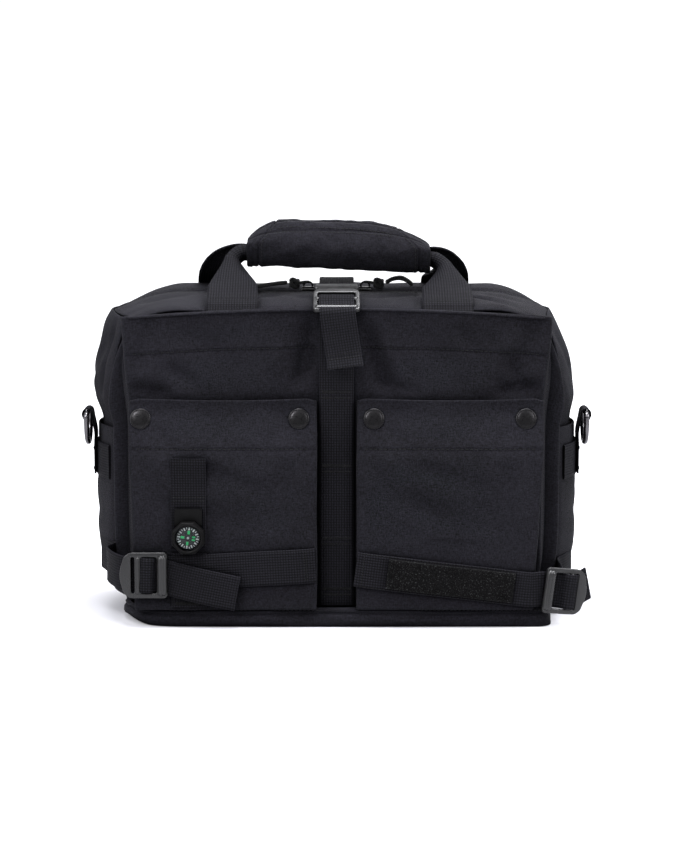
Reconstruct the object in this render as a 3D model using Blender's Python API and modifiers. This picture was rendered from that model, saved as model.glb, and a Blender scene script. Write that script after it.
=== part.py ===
"""Flight bag: a soft fabric crew bag built as sewn panels, webbing and hardware.

Frame: metres, +Z up, the front of the bag faces -Y.  The origin is on the flat
underside of the base, below the middle of the bag.
Dimensions below are in millimetres and are scaled by MM when meshes are made.
"""
import bpy
import bmesh
from math import sin, cos, pi, radians, atan2
from mathutils import Vector, Matrix

MM = 0.001

# ---------------------------------------------------------------- dimensions
GAP = 0.4                 # clearance between neighbouring pieces
FABRIC = 2.0              # coated, padded body fabric
POCKET_FABRIC = 1.6       # unpadded pocket fabric
WEB_T = 1.4               # webbing thickness
WEB_25 = 25.4             # 1 inch webbing
WEB_38 = 36.0             # handle webbing

BODY_HALF_WIDTH = 176.0   # widest half-width, at mid height
BASE_HALF_WIDTH = 157.0
SHOULDER_HALF_WIDTH = 156.0
BACK_Y = 62.0             # outer face of the back
INNER_FRONT_Y = -40.0     # outer face of the main compartment's front wall
SLIP_Y = -57.0            # outer face of the full-width slip pocket
POCKET_Y = -70.0          # outer face of the two patch pockets
WIDEST_Y = 12.0
BASE_H = 12.0             # height of the base tray
CROWN_Z = 234.0           # top of the bag along the zip
ZIP_Y = 14.0
ZIP_HALF_GAP = 0.4
TAPE_W = 6.0
SHOULDER_Z = 221.5
SLIP_TOP_Z = 227.0

POCKET_TOP_Z = 163.0
POCKET_SPLIT_Z = 58.6     # line the pocket front leans out about
POCKET_IN_X = 14.2
POCKET_OUT_X = 147.0
SNAP_R = 7.3
SNAP_Z = 149.5
SNAP_X = (-139.0, -26.7, 26.5, 134.3)

GRIP_X = 1.5
GRIP_Y = 0.0
GRIP_Z = 268.0
GRIP_HALF_L = 66.0
GRIP_HALF_H = 17.5
GRIP_END_H = 4.0
GRIP_HALF_D = 15.0
GRIP_WALL = 5.0
GRIP_TILT = radians(2.0)  # the right end hangs a little lower

HANDLE_LEG_X = 75.0
HANDLE_FRONT_Y = -41.0
HANDLE_REAR_Y = 50.0
HANDLE_REAR_LEG_X = 82.0

BUCKLE_HALF_W = 15.5
BUCKLE_Z = 237.6
BUCKLE_REAR_Y = -18.0
BUCKLE_FRONT_Y = -42.0

COMPASS_X = -105.0
COMPASS_Z = 66.5
COMPASS_FLATS = 22.6
STRAP_Y = -72.9           # mid-plane of the lower straps

D_RING_X = 183.0
D_RING_Z = 145.5
D_RING_Y = 2.0
D_RING_WIRE = 2.0


# ---------------------------------------------------------------- scene setup
for ob in list(bpy.data.objects):
    bpy.data.objects.remove(ob, do_unlink=True)

parts = bpy.data.collections.new("flight_bag")
bpy.context.scene.collection.children.link(parts)
cutters = bpy.data.collections.new("cutters")
bpy.context.scene.collection.children.link(cutters)

FABRIC_COL = (0.013, 0.013, 0.018)
WEB_COL = (0.017, 0.017, 0.018)
PLASTIC_COL = (0.020, 0.020, 0.021)
METAL_COL = (0.090, 0.085, 0.090)


def material(ob, colour, rough=0.85, metal=0.0):
    m = bpy.data.materials.new(ob.name)
    m.use_nodes = True
    b = m.node_tree.nodes["Principled BSDF"]
    b.inputs["Base Color"].default_value = (*colour, 1.0)
    b.inputs["Roughness"].default_value = rough
    b.inputs["Metallic"].default_value = metal
    ob.data.materials.append(m)


def mesh_object(name, bm, colour, rough=0.85, metal=0.0, smooth=35.0, coll=None):
    me = bpy.data.meshes.new(name)
    bm.to_mesh(me)
    bm.free()
    ob = bpy.data.objects.new(name, me)
    (coll or parts).objects.link(ob)
    if smooth:
        me.shade_smooth()
        me.set_sharp_from_angle(angle=radians(smooth))
    material(ob, colour, rough, metal)
    return ob


def set_origin(ob, point):
    """Move an object's origin to a world point in mm, leaving its shape in place."""
    p = Vector(point) * MM
    ob.data.transform(Matrix.Translation(-(ob.matrix_world.inverted() @ p)))
    ob.location = p


def solidify(ob, thick, offset=-1.0):
    m = ob.modifiers.new("Thickness", "SOLIDIFY")
    m.thickness = thick * MM
    m.offset = offset
    m.use_even_offset = True
    return m


def bevel(ob, width, segments=1, angle=40.0):
    m = ob.modifiers.new("Edges", "BEVEL")
    m.width = width * MM
    m.segments = segments
    m.limit_method = "ANGLE"
    m.angle_limit = radians(angle)
    return m


def panel(name, fn, nu, nv, thick, colour=FABRIC_COL, offset=-1.0, rough=0.85, smooth=50.0):
    """A sheet over the unit square, shaped by fn(u, v) in mm, then thickened."""
    bm = bmesh.new()
    bmesh.ops.create_grid(bm, x_segments=nu, y_segments=nv, size=0.5)
    for v in bm.verts:
        v.co = Vector(fn(v.co.x + 0.5, v.co.y + 0.5)) * MM
    ob = mesh_object(name, bm, colour, rough, smooth=smooth)
    solidify(ob, thick, offset)
    return ob


def ribbon(name, centres, acrosses, width, thick=WEB_T, colour=WEB_COL, offset=0.0, across_n=1):
    """A webbing strip along centres; acrosses gives its width direction at each."""
    n = len(centres) - 1

    def fn(u, v):
        i = int(round(u * n))
        return Vector(centres[i]) + Vector(acrosses[i]).normalized() * ((v - 0.5) * width)
    return panel(name, fn, n, across_n, thick, colour, offset)


def smooth_path(points, per=6):
    """Points on a Catmull-Rom curve through the given points."""
    p = [Vector(q) for q in points]
    ext = [p[0] * 2 - p[1]] + p + [p[-1] * 2 - p[-2]]
    out = []
    for i in range(1, len(ext) - 2):
        a, b, c, d = ext[i - 1], ext[i], ext[i + 1], ext[i + 2]
        for k in range(per):
            t = k / per
            out.append(0.5 * ((2 * b) + (c - a) * t + (2 * a - 5 * b + 4 * c - d) * t * t
                              + (3 * b - a - 3 * c + d) * t ** 3))
    out.append(p[-1])
    return out


def box(name, size, centre, colour, rough=0.45, metal=0.0, edge=0.0, seg=1, coll=None):
    bm = bmesh.new()
    bmesh.ops.create_cube(bm, size=1.0)
    for v in bm.verts:
        v.co = Vector((v.co.x * size[0], v.co.y * size[1], v.co.z * size[2])) * MM
    ob = mesh_object(name, bm, colour, rough, metal, coll=coll)
    ob.location = Vector(centre) * MM
    if edge:
        bevel(ob, edge, seg)
    return ob


def cutter(name, size, centre, rot=None):
    ob = box(name, size, centre, (0.5, 0.5, 0.5), coll=cutters)
    if rot:
        ob.rotation_euler = rot
    ob.hide_render = True
    ob.display_type = "WIRE"
    return ob


def cut(ob, tool):
    m = ob.modifiers.new("Cut", "BOOLEAN")
    m.operation = "DIFFERENCE"
    m.solver = "EXACT"
    m.object = tool
    return m


def tube(name, points, radius, colour, cyclic=False, rough=0.8, metal=0.0, res=2):
    cu = bpy.data.curves.new(name, "CURVE")
    cu.dimensions = "3D"
    cu.bevel_depth = radius * MM
    cu.bevel_resolution = res
    cu.use_fill_caps = not cyclic
    sp = cu.splines.new("POLY")
    sp.points.add(len(points) - 1)
    for i, q in enumerate(points):
        sp.points[i].co = (*(Vector(q) * MM), 1.0)
    sp.use_cyclic_u = cyclic
    ob = bpy.data.objects.new(name, cu)
    parts.objects.link(ob)
    material(ob, colour, rough, metal)
    return ob


def plate(name, loops, thick, colour, rough=0.4, edge=0.0, seg=2):
    """A flat piece in its own XY plane: the first loop is its outline, the rest are holes."""
    cu = bpy.data.curves.new(name, "CURVE")
    cu.dimensions = "2D"
    cu.fill_mode = "BOTH"
    cu.extrude = thick * 0.5 * MM
    for lp in loops:
        sp = cu.splines.new("POLY")
        sp.points.add(len(lp) - 1)
        for i, q in enumerate(lp):
            sp.points[i].co = (q[0] * MM, q[1] * MM, 0.0, 1.0)
        sp.use_cyclic_u = True
    ob = bpy.data.objects.new(name, cu)
    parts.objects.link(ob)
    material(ob, colour, rough)
    if edge:
        w = ob.modifiers.new("Weld", "WELD")
        w.merge_threshold = 0.00001
        bevel(ob, edge, seg, 50.0)
    return ob


def rounded(cx, cy, w, h, r, n=3):
    """A rounded rectangle as a closed loop of points."""
    out = []
    for k, (sx, sy) in enumerate(((1, 1), (-1, 1), (-1, -1), (1, -1))):
        for i in range(n + 1):
            a = pi / 2 * (k + i / n)
            out.append((cx + sx * (w / 2 - r) + r * cos(a), cy + sy * (h / 2 - r) + r * sin(a)))
    return out


def turned(name, profile, colour, rough=0.4, metal=0.0, steps=20):
    """A solid of revolution about local Z from an outer profile, listed top to bottom."""
    bm = bmesh.new()
    vs = [bm.verts.new((r * MM, 0.0, z * MM)) for r, z in profile]
    for a, b in zip(vs, vs[1:]):
        bm.edges.new((a, b))
    ob = mesh_object(name, bm, colour, rough, metal, smooth=0)
    m = ob.modifiers.new("Turn", "SCREW")
    m.angle = 2 * pi
    m.steps = steps
    m.render_steps = steps
    m.use_merge_vertices = True
    m.merge_threshold = 0.00001
    m.use_smooth_shade = True
    return ob


def loft(name, rings, colour, rough=0.8, smooth=40.0):
    """A closed solid through rings of equal point count."""
    bm = bmesh.new()
    rows = [[bm.verts.new(Vector(p) * MM) for p in ring] for ring in rings]
    n = len(rows[0])
    for a, b in zip(rows, rows[1:]):
        for i in range(n):
            bm.faces.new((a[i], a[(i + 1) % n], b[(i + 1) % n], b[i]))
    bm.faces.new(rows[0])
    bm.faces.new(rows[-1])
    bmesh.ops.recalc_face_normals(bm, faces=bm.faces)
    return mesh_object(name, bm, colour, rough, smooth=smooth)


def step(a, b, x):
    t = min(1.0, max(0.0, (x - a) / (b - a)))
    return t * t * (3 - 2 * t)


# ---------------------------------------------------------------- body shape
def half_width(z):
    if z < 100:
        return BODY_HALF_WIDTH - (BODY_HALF_WIDTH - BASE_HALF_WIDTH) * (1 - max(z, 0) / 100.0) ** 4.5
    if z > 150:
        return BODY_HALF_WIDTH - (BODY_HALF_WIDTH - SHOULDER_HALF_WIDTH) * ((z - 150) / 72.0) ** 2.3
    return BODY_HALF_WIDTH


def side_x(y, z):
    """Half-width of the bag's outline at depth y and height z."""
    front = 22.0 - 12.0 * step(140, 220, z)
    if y < WIDEST_Y:
        return half_width(z) - front * ((y - WIDEST_Y) / 52.0) ** 2
    return half_width(z) - 14.0 * ((y - WIDEST_Y) / 50.0) ** 2


def gusset_x(y, z):
    """The side wall lies under the side pocket, and comes out to the outline above it."""
    return side_x(y, z) - 3.4 * (1 - step(140, 160, z))


def crown(x):
    return CROWN_Z - 12.0 * (max(0.0, abs(x) - 110.0) / 42.0) ** 2


def drop(y):
    return 5.0 * ((y - ZIP_Y) / 54.0) ** 2


def top_z(x, y):
    return crown(x) - drop(y)


def slip_half(z):
    return 146.0 + 7.0 * step(150, 222, z) - 3.0 * (1 - step(12, 50, z))


def slip_top(x):
    return SLIP_TOP_Z - 6.5 * (abs(x) / 153.0) ** 2


def pocket_y(z):
    """Front face of a patch pocket: full depth below, drawn in to the snaps at the top."""
    return POCKET_Y + 8.0 * step(118, POCKET_TOP_Z, z)


# ---------------------------------------------------------------- shell panels
Z0 = BASE_H + 0.9

# base tray: an open-topped shallow box, wider at its rim than on the floor
bm = bmesh.new()
bmesh.ops.create_cube(bm, size=1.0)
y_mid, y_len = (BACK_Y - 66.0) / 2, BACK_Y + 66.0
for v in bm.verts:
    low = v.co.z < 0
    front = v.co.y < 0
    # the tray narrows towards its front edge, as the body does
    hx = (BASE_HALF_WIDTH - 7.0 if front else BASE_HALF_WIDTH) + (0.0 if low else 4.0)
    hy = y_len / 2 - (2.0 if low else 0.0)
    v.co = Vector(((1 if v.co.x > 0 else -1) * hx, y_mid + (1 if v.co.y > 0 else -1) * hy,
                   0.0 if low else BASE_H)) * MM
bmesh.ops.bevel(bm, geom=[e for e in bm.edges if abs((e.verts[0].co - e.verts[1].co).z) > 0.005],
                offset=0.014, segments=4, profile=0.5, affect="EDGES")
bmesh.ops.bevel(bm, geom=[e for e in bm.edges
                          if all(v.co.z < 0.0005 for v in e.verts) and len(e.link_faces) == 2
                          and any(abs(f.normal.z) < 0.9 for f in e.link_faces)],
                offset=0.0035, segments=2, profile=0.5, affect="EDGES")
bmesh.ops.delete(bm, geom=[f for f in bm.faces if all(v.co.z > (BASE_H - 0.1) * MM for v in f.verts)],
                 context="FACES_ONLY")
base = mesh_object("base_panel", bm, FABRIC_COL, 0.9)
solidify(base, FABRIC)
box("base_board", (286, 106, 2.4), (0, -3, FABRIC + GAP + 1.2), (0.05, 0.05, 0.05), 0.6, edge=0.6)

panel("back_panel",
      lambda u, v: ((1 - 2 * u) * (gusset_x(BACK_Y - 2, Z0 + v * 205) - 0.3), BACK_Y,
                    Z0 + v * (top_z((1 - 2 * u) * 142, BACK_Y) - 3.0 - Z0)), 10, 8, 2.8)
panel("inner_front_panel",
      lambda u, v: ((2 * u - 1) * (gusset_x(INNER_FRONT_Y + 1, Z0 + v * 205) - 0.3), INNER_FRONT_Y,
                    Z0 + v * (top_z((2 * u - 1) * 146, INNER_FRONT_Y) - 3.0 - Z0)), 10, 8, 2.6)
for side, s in (("left", -1), ("right", 1)):
    def gusset(u, v, s=s):
        y = (INNER_FRONT_Y + 3.2) + (BACK_Y - 3.4 - INNER_FRONT_Y - 3.2) * (u if s > 0 else 1 - u)
        z = Z0 + v * (SHOULDER_Z - drop(y) - Z0)
        return (s * gusset_x(y, z), y, z)
    panel("gusset_" + side, gusset, 8, 9, FABRIC)


def top_panel(y0, y1):
    def fn(u, v):
        y = y0 + (y1 - y0) * v
        x = (2 * u - 1) * (gusset_x(y, SHOULDER_Z - drop(y)) - FABRIC - 0.6)
        return (x, y, top_z(x, y))
    return fn


panel("top_panel_front", top_panel(INNER_FRONT_Y + 0.2, ZIP_Y - ZIP_HALF_GAP - TAPE_W - GAP), 22, 3, FABRIC)
panel("top_panel_rear", top_panel(ZIP_Y + ZIP_HALF_GAP + TAPE_W + GAP, BACK_Y - 0.4), 22, 3, FABRIC)
panel("zipper_tape_front", top_panel(ZIP_Y - ZIP_HALF_GAP - TAPE_W, ZIP_Y - ZIP_HALF_GAP), 22, 1, 1.4,
      colour=(0.008, 0.008, 0.009))
panel("zipper_tape_rear", top_panel(ZIP_Y + ZIP_HALF_GAP, ZIP_Y + ZIP_HALF_GAP + TAPE_W), 22, 1, 1.4,
      colour=(0.008, 0.008, 0.009))

# full-width slip pocket: its front face and two short side gussets in one sewn piece
def slip(u, v):
    z_edge = Z0 + v * (slip_top(153 if u < 0.1 or u > 0.9 else (2 * u - 1) * 153) - Z0)
    s = -1 if u < 0.5 else 1
    k = int(round(min(u, 1 - u) * 20))
    hx = slip_half(z_edge)
    if k == 0:
        return (s * (side_x(INNER_FRONT_Y, z_edge) - 3.4), INNER_FRONT_Y - 0.7, z_edge)
    if k == 1:
        return (s * (hx + 0.8), -51.0, z_edge)
    if k == 2:
        return (s * (hx - 1.0), SLIP_Y + 1.6, z_edge)
    if k == 3:
        return (s * (hx - 4.0), SLIP_Y, z_edge)
    x = (hx - 4.0) * (k - 10) / 7.0 * -1.0
    return (s * x, SLIP_Y, Z0 + v * (slip_top(x) - Z0))


panel("slip_pocket_panel", slip, 20, 8, POCKET_FABRIC)

# ---------------------------------------------------------------- patch pockets
for side, s in (("left", -1), ("right", 1)):
    xa, xb = (-POCKET_OUT_X, -POCKET_IN_X) if s < 0 else (POCKET_IN_X, POCKET_OUT_X)
    # lower part, sewn down: an open box of front, floor and two sides
    bm = bmesh.new()
    bmesh.ops.create_cube(bm, size=1.0)
    for v in bm.verts:
        v.co = Vector((xa if v.co.x < 0 else xb, POCKET_Y if v.co.y < 0 else SLIP_Y - GAP,
                       Z0 + 0.4 if v.co.z < 0 else POCKET_SPLIT_Z - 0.3)) * MM
        if v.co.z < 0.02 and v.co.y < SLIP_Y * MM - 0.005:
            v.co.y += 0.002
    bmesh.ops.bevel(bm, geom=[e for e in bm.edges if all(v.co.y < -0.060 for v in e.verts)
                              and abs(e.verts[0].co.z - e.verts[1].co.z) > 0.01],
                    offset=0.003, segments=2, profile=0.5, affect="EDGES")
    bm.normal_update()
    bmesh.ops.delete(bm, geom=[f for f in bm.faces if f.normal.z > 0.9 or f.normal.y > 0.9],
                     context="FACES_ONLY")
    ob = mesh_object("pocket_%s_base" % side, bm, FABRIC_COL, 0.85)
    solidify(ob, POCKET_FABRIC)

    # upper part, which leans out when its two snaps are opened
    def upper(u, v, xa=xa, xb=xb):
        z = POCKET_SPLIT_Z + 0.3 + v * (POCKET_TOP_Z - POCKET_SPLIT_Z - 0.3)
        yf = pocket_y(z)
        k = int(round(u * 12))
        if k == 0 or k == 12:
            return (xa if k == 0 else xb, SLIP_Y - 1.2, z)
        if k == 1 or k == 11:
            return (xa if k == 1 else xb, min(yf + 2.4, SLIP_Y - 1.8), z)
        t = (k - 2) / 8.0
        return (xa + 2.4 + (xb - xa - 4.8) * t, yf, z)
    ob = panel("pocket_%s_front" % side, upper, 12, 9, POCKET_FABRIC)
    set_origin(ob, ((xa + xb) / 2, POCKET_Y, POCKET_SPLIT_Z))

# snaps: a domed cap on each pocket corner, and its stud on the wall behind
for i, x in enumerate(SNAP_X):
    z = SNAP_Z
    slope = atan2(pocket_y(z + 2) - pocket_y(z - 2), 4.0)
    face = Vector((x, pocket_y(z), z))
    nrm = Vector((0, -cos(slope), sin(slope)))
    cap = turned("snap_cap_%d" % (i + 1),
                 [(0.0, 2.4), (3.0, 2.25), (5.2, 1.75), (6.7, 0.9), (SNAP_R, 0.2), (SNAP_R, 0.0), (0.0, 0.0)],
                 METAL_COL, 0.35, 0.9, 24)
    cap.rotation_euler = (pi / 2 - slope, 0, 0)
    cap.location = (face + nrm * 0.9) * MM
    reach = (SLIP_Y - GAP) - (pocket_y(z) + POCKET_FABRIC + 0.9)
    stud = turned("snap_stud_%d" % (i + 1),
                  [(0.0, reach), (2.4, reach), (2.4, 1.0), (4.6, 0.6), (4.6, 0.0), (0.0, 0.0)],
                  METAL_COL, 0.35, 0.9, 14)
    stud.rotation_euler = (pi / 2, 0, 0)
    stud.location = Vector((x, SLIP_Y - 0.4, z)) * MM

# ---------------------------------------------------------------- centre webbing and top strap
ribbon("center_webbing", [(0, SLIP_Y - 1.1, z) for z in (13.2, 50, 90, 130, 170, 200, 222)],
       [(1, 0, 0)] * 7, 24.8)

strap_pts = smooth_path([(0, BACK_Y + 1.3, 120), (0, BACK_Y + 1.3, 170), (0, BACK_Y + 1.3, 224),
                         (0, BACK_Y + 0.8, 230.6), (0, BACK_Y - 3.0, 233.0),
                         (0, BACK_Y - 14, top_z(0, BACK_Y - 14) + 1.5), (0, 30, top_z(0, 30) + 1.5), (0, 14, CROWN_Z + 1.5), (0, -4, top_z(0, -4) + 2.0),
                         (0, BUCKLE_REAR_Y + 0.5, BUCKLE_Z)], 3)
ribbon("top_strap", strap_pts, [(1, 0, 0)] * len(strap_pts), WEB_25)

# buckle, receiving half: a flat sleeve open at the front, with side windows and a strap slot
fl = BUCKLE_REAR_Y - BUCKLE_FRONT_Y
female = box("buckle_female", (2 * BUCKLE_HALF_W, fl, 8.4),
             (0, (BUCKLE_REAR_Y + BUCKLE_FRONT_Y) / 2, BUCKLE_Z), PLASTIC_COL, 0.38, edge=1.6, seg=2)
cut(female, cutter("cut_sleeve", (25.4, 19.0, 5.0), (0, BUCKLE_FRONT_Y + 8.5, BUCKLE_Z)))
cut(female, cutter("cut_windows", (40.0, 9.0, 5.4), (0, BUCKLE_FRONT_Y + 9.5, BUCKLE_Z)))

# buckle, plug half: a ladder frame for the webbing, with a centre guide
male_tilt = radians(33)
frame_loops = [[(-16.5, -11.5), (-14.5, -13.0), (14.5, -13.0), (16.5, -11.5), (16.5, 7.5), (13.6, 11.0),
                (-13.6, 11.0), (-16.5, 7.5)],
               rounded(0, 3.9, 26.4, 4.6, 0.8, 1), rounded(0, -5.2, 26.4, 5.4, 0.8, 1)]
male = plate("buckle_male", frame_loops, 3.4, PLASTIC_COL, 0.38, 0.5, 1)
male.rotation_euler = (male_tilt, 0, 0)
male.location = Vector((0, -54.0, 233.4)) * MM
for side, s in (("left", -1), ("right", 1)):
    arm = [(s * 5.2, -3.3), (s * 9.0, -3.3), (s * 12.0, 6.0), (s * 12.2, 11.6), (s * 10.0, 14.6),
           (s * 8.6, 12.8), (s * 8.4, 6.5)]
    ob = plate("buckle_prong_" + side, [arm if s > 0 else arm[::-1]], 3.2, PLASTIC_COL, 0.4)
    ob.location = Vector((0, BUCKLE_FRONT_Y + 2.0, BUCKLE_Z)) * MM

tail_pts = smooth_path([(1.0, -66.6, 224.4), (1.6, -66.8, 218.0), (3.2, -64.4, 207), (5.2, -62.4, 194),
                        (6.2, -62.2, 186)], 2)
ribbon("center_tail", tail_pts, [(1, 0, 0.10)] * len(tail_pts), WEB_25)

# ---------------------------------------------------------------- handles and grip
def strap_ring(c, across, up, hw, ht):
    a, b = Vector(across).normalized() * hw, Vector(up).normalized() * ht
    c = Vector(c)
    return [c + a + b * 0.6, c + a * 0.9 + b, c - a * 0.9 + b, c - a + b * 0.6,
            c - a - b * 0.6, c - a * 0.9 - b, c + a * 0.9 - b, c + a - b * 0.6]


def handle(name, y0, leg_x, run_y, run_z, z0, tilt, run_half, run_hw, run_ht, apex, run_across):
    """Two flat legs that fold to a narrow point and join in a run through the grip."""
    d = Vector((0, run_y - y0, run_z - z0))
    n = Vector((0, -d.z, d.y))
    stages = ((0.0, 1.0, 1.0), (0.22, 1.0, 1.0), (0.40, 1.0, 1.0), (0.60, 0.62, 1.4), (0.82, 0.40, 2.0),
              (0.95, 0.28, 2.6))
    rings = []
    for s, ends in ((-1, stages), (1, stages[::-1])):
        top = apex[0] if s < 0 else apex[1]
        lift = -top * sin(tilt)
        leg = []
        for t, w, ht in ends:
            x = s * leg_x + (top - s * leg_x) * t * t
            c = Vector((x, y0, z0)) + d * t + Vector((0, 0, lift * t))
            leg.append(strap_ring(c, Vector((-s, 0, 0)), n, WEB_38 / 2 * w, ht))
        bend = strap_ring((top - s * 6.0, run_y, run_z + lift + 0.6), Vector((-s * 0.72, 0, -0.69)), n,
                          run_hw * 0.9, run_ht)
        if s < 0:
            rings += leg + [bend]
            for k in range(5):
                x = -run_half + 2 * run_half * k / 4
                rings.append(strap_ring((x, run_y, run_z - x * sin(tilt)), -run_across, n, run_hw, run_ht))
        else:
            rings += [bend] + leg
    return loft(name, rings, WEB_COL)


hf = handle("handle_front", HANDLE_FRONT_Y, HANDLE_LEG_X, GRIP_Y - 3.0, GRIP_Z - 5.5, 230.6, GRIP_TILT,
            60.0, 4.2, 2.4, (-77.0, 80.0), Vector((0, 0, 1)))
set_origin(hf, (0, HANDLE_FRONT_Y, 230.0))
hr = handle("handle_rear", HANDLE_REAR_Y, HANDLE_REAR_LEG_X, GRIP_Y + GRIP_HALF_D + 7.6, GRIP_Z - 4.0, 233.8,
            GRIP_TILT * 0.5, 60.0, 9.0, 1.6, (-76.0, 76.0), Vector((0, 0, 1)))
set_origin(hr, (0, HANDLE_REAR_Y, 231.0))


# grip: a padded wrap, its rear half sewn to the front handle and its front half a flap
def grip_half(name, front):
    n_arc, n_x = 10, 12
    a0, a1 = (radians(107), radians(279)) if front else (radians(-67), radians(97))

    def fn(u, v):
        t = 2 * u - 1
        f = (1 - 0.10 * t ** 6)
        x = t * (GRIP_HALF_L - (0.8 if front else 0.0))  # the flap stops short of the handle's bend
        a = a0 + (a1 - a0) * v
        hy, hz = GRIP_HALF_D * f, GRIP_HALF_H * (1 - 0.04 * t ** 6)
        if a > 0 and a < pi:
            # the pad's top is domed, and slopes off more slowly towards its right end
            hz = GRIP_END_H + (GRIP_HALF_H - GRIP_END_H) * (1 - abs(t) ** (4.8 if t < 0 else 2.85))
        return (GRIP_X + x, GRIP_Y + hy * cos(a), GRIP_Z - x * sin(GRIP_TILT) + hz * sin(a))
    return panel(name, fn, n_x, n_arc, GRIP_WALL if not front else 4.0, FABRIC_COL, 1.0, 0.85, 60.0)


gf = grip_half("grip_flap", True)
gc = grip_half("grip_core", False)
set_origin(gf, (GRIP_X, GRIP_Y + GRIP_HALF_D * cos(radians(107)), GRIP_Z + GRIP_HALF_H * sin(radians(107))))

# ---------------------------------------------------------------- zip sliders and cord pulls
for side, s in (("left", -1), ("right", 1)):
    sx = s * 21.0
    slider = box("zip_slider_" + side, (9.0, 7.6, 3.0), (sx, ZIP_Y, CROWN_Z + GAP + 1.5), METAL_COL, 0.4, 0.8,
                 edge=0.8)
    knot_c = Vector((s * 31.0, ZIP_Y - 0.5, CROWN_Z + 5.6))
    bm = bmesh.new()
    bmesh.ops.create_uvsphere(bm, u_segments=12, v_segments=8, radius=1.0)
    for v in bm.verts:
        v.co = Vector((v.co.x * 5.2, v.co.y * 4.2, v.co.z * 4.0)) * MM
    knot = mesh_object("zip_knot_" + side, bm, (0.01, 0.01, 0.011), 0.8)
    knot.location = knot_c * MM
    if s < 0:
        route = [(-36.9, 12.6, 240.2), (-43, 9.4, 239.8), (-51, 8.6, 238.8), (-58, 9.6, 237.6), (-60.8, 12.8, 237.2),
                 (-58, 16.2, 237.4), (-51, 17.0, 238.2), (-43, 16.4, 239.4), (-36.9, 15.2, 240.0)]
    else:
        route = [(36.9, 12.4, 240.0), (42, 8.6, 240.8), (48, 5.6, 240.0), (53, 6.4, 238.0), (53.6, 12.0, 237.0),
                 (51.5, 17.6, 237.2), (46, 19.4, 238.4), (41, 18.0, 239.6), (36.9, 15.6, 240.2)]
    tube("zip_cord_" + side, smooth_path(route, 4), 1.5, (0.01, 0.01, 0.011))

# ---------------------------------------------------------------- lower straps
# left strap: sewn at the pocket's inner edge, through its ladder lock, and back over itself
strap_l = [(-16.0, STRAP_Y + 0.9, 45.2), (-30.0, STRAP_Y, 44.4), (-50.0, STRAP_Y, 43.4), (-76.0, STRAP_Y, 42.0),
           (-100.0, STRAP_Y, 40.7), (-120.0, STRAP_Y, 39.6), (-130.0, STRAP_Y, 39.2),
           (-133.2, STRAP_Y - 0.7, 39.1), (-134.5, STRAP_Y - 2.6, 39.0), (-133.2, STRAP_Y - 4.5, 38.9),
           (-130.0, STRAP_Y - 5.2, 38.4), (-120.0, STRAP_Y - 5.2, 36.2), (-104.0, STRAP_Y - 4.8, 32.4),
           (-86.0, STRAP_Y - 4.8, 28.2), (-70.0, STRAP_Y - 5.6, 24.5)]
lean_l = [(0.05, 0, 1)] * 9 + [(0.10, 0, 1), (0.16, 0, 1)] + [(0.23, 0, 1)] * 4
ribbon("strap_left", strap_l, lean_l, WEB_25)

# ladder lock: a wide bar, an opening, a middle bar, the anchor slot and a pointed tab
LOCK_OUT = [(16.5, 14.6), (14.4, 16.5), (-10.5, 16.5), (-14.6, 13.0), (-17.0, 2.5), (-17.0, -2.5), (-14.6, -13.0),
            (-10.5, -16.5), (14.4, -16.5), (16.5, -14.6)]
LOCK_HOLES = [rounded(3.6, 0, 11.4, 27.2, 1.2, 1), rounded(-8.6, 0, 3.8, 27.2, 1.2, 1)]
LOCK_T = 2.6
ll = plate("ladder_left", [LOCK_OUT] + LOCK_HOLES, LOCK_T, PLASTIC_COL, 0.38, 0.45, 1)
ll.rotation_euler = (pi / 2, 0, 0)
ll.location = Vector((-136.7, STRAP_Y - 2.45, 39.0)) * MM

# left anchor: from the side seam round the corner, looped over the lock's middle bar
yb = STRAP_Y - 2.45
anchor_l = [(-side_x(-8, 60) - 0.9, -8.0, 43.5), (-side_x(-22, 60) - 0.9, -22.0, 42.8),
            (-side_x(-33, 60) - 1.6, -33.0, 42.2), (-159.5, -48.0, 41.2), (-155.6, -60.0, 40.4),
            (-151.8, -68.5, 39.8), (-148.6, -72.2, 39.4), (-145.5, yb + 1.2, 39.1), (-145.3, yb - 1.2, 39.0),
            (-143.6, yb - 2.6, 39.0), (-141.2, yb - 2.9, 39.0), (-138.6, yb - 2.6, 39.0), (-137.2, yb - 1.2, 39.0),
            (-137.3, yb + 1.2, 39.0)]
ribbon("anchor_left", anchor_l, [(0, 0, 1)] * len(anchor_l), WEB_25)

# right strap: slants down to a ladder lock that hangs round the corner of the bag
LR_YAW, LR_DROOP = radians(23), radians(8.5)
LR_C = Vector((163.0, -66.6, 25.6))
LR_M = Matrix.Rotation(LR_YAW, 4, "Z") @ Matrix.Rotation(LR_DROOP, 4, "Y")
lr = plate("ladder_right", [[(-x, y) for x, y in reversed(LOCK_OUT)],
                            rounded(-3.6, 0, 11.4, 27.2, 1.2, 1), rounded(8.6, 0, 3.8, 27.2, 1.2, 1)],
           LOCK_T, PLASTIC_COL, 0.38, 0.45, 1)
lr.matrix_world = Matrix.Translation(LR_C * MM) @ LR_M @ Matrix.Rotation(pi / 2, 4, "X")


def lock_point(x, y, z=0.0):
    """A point given in the right lock's own frame: x along the strap, y into the bag."""
    return LR_C + (LR_M @ Vector((x, y, z)))


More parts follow.
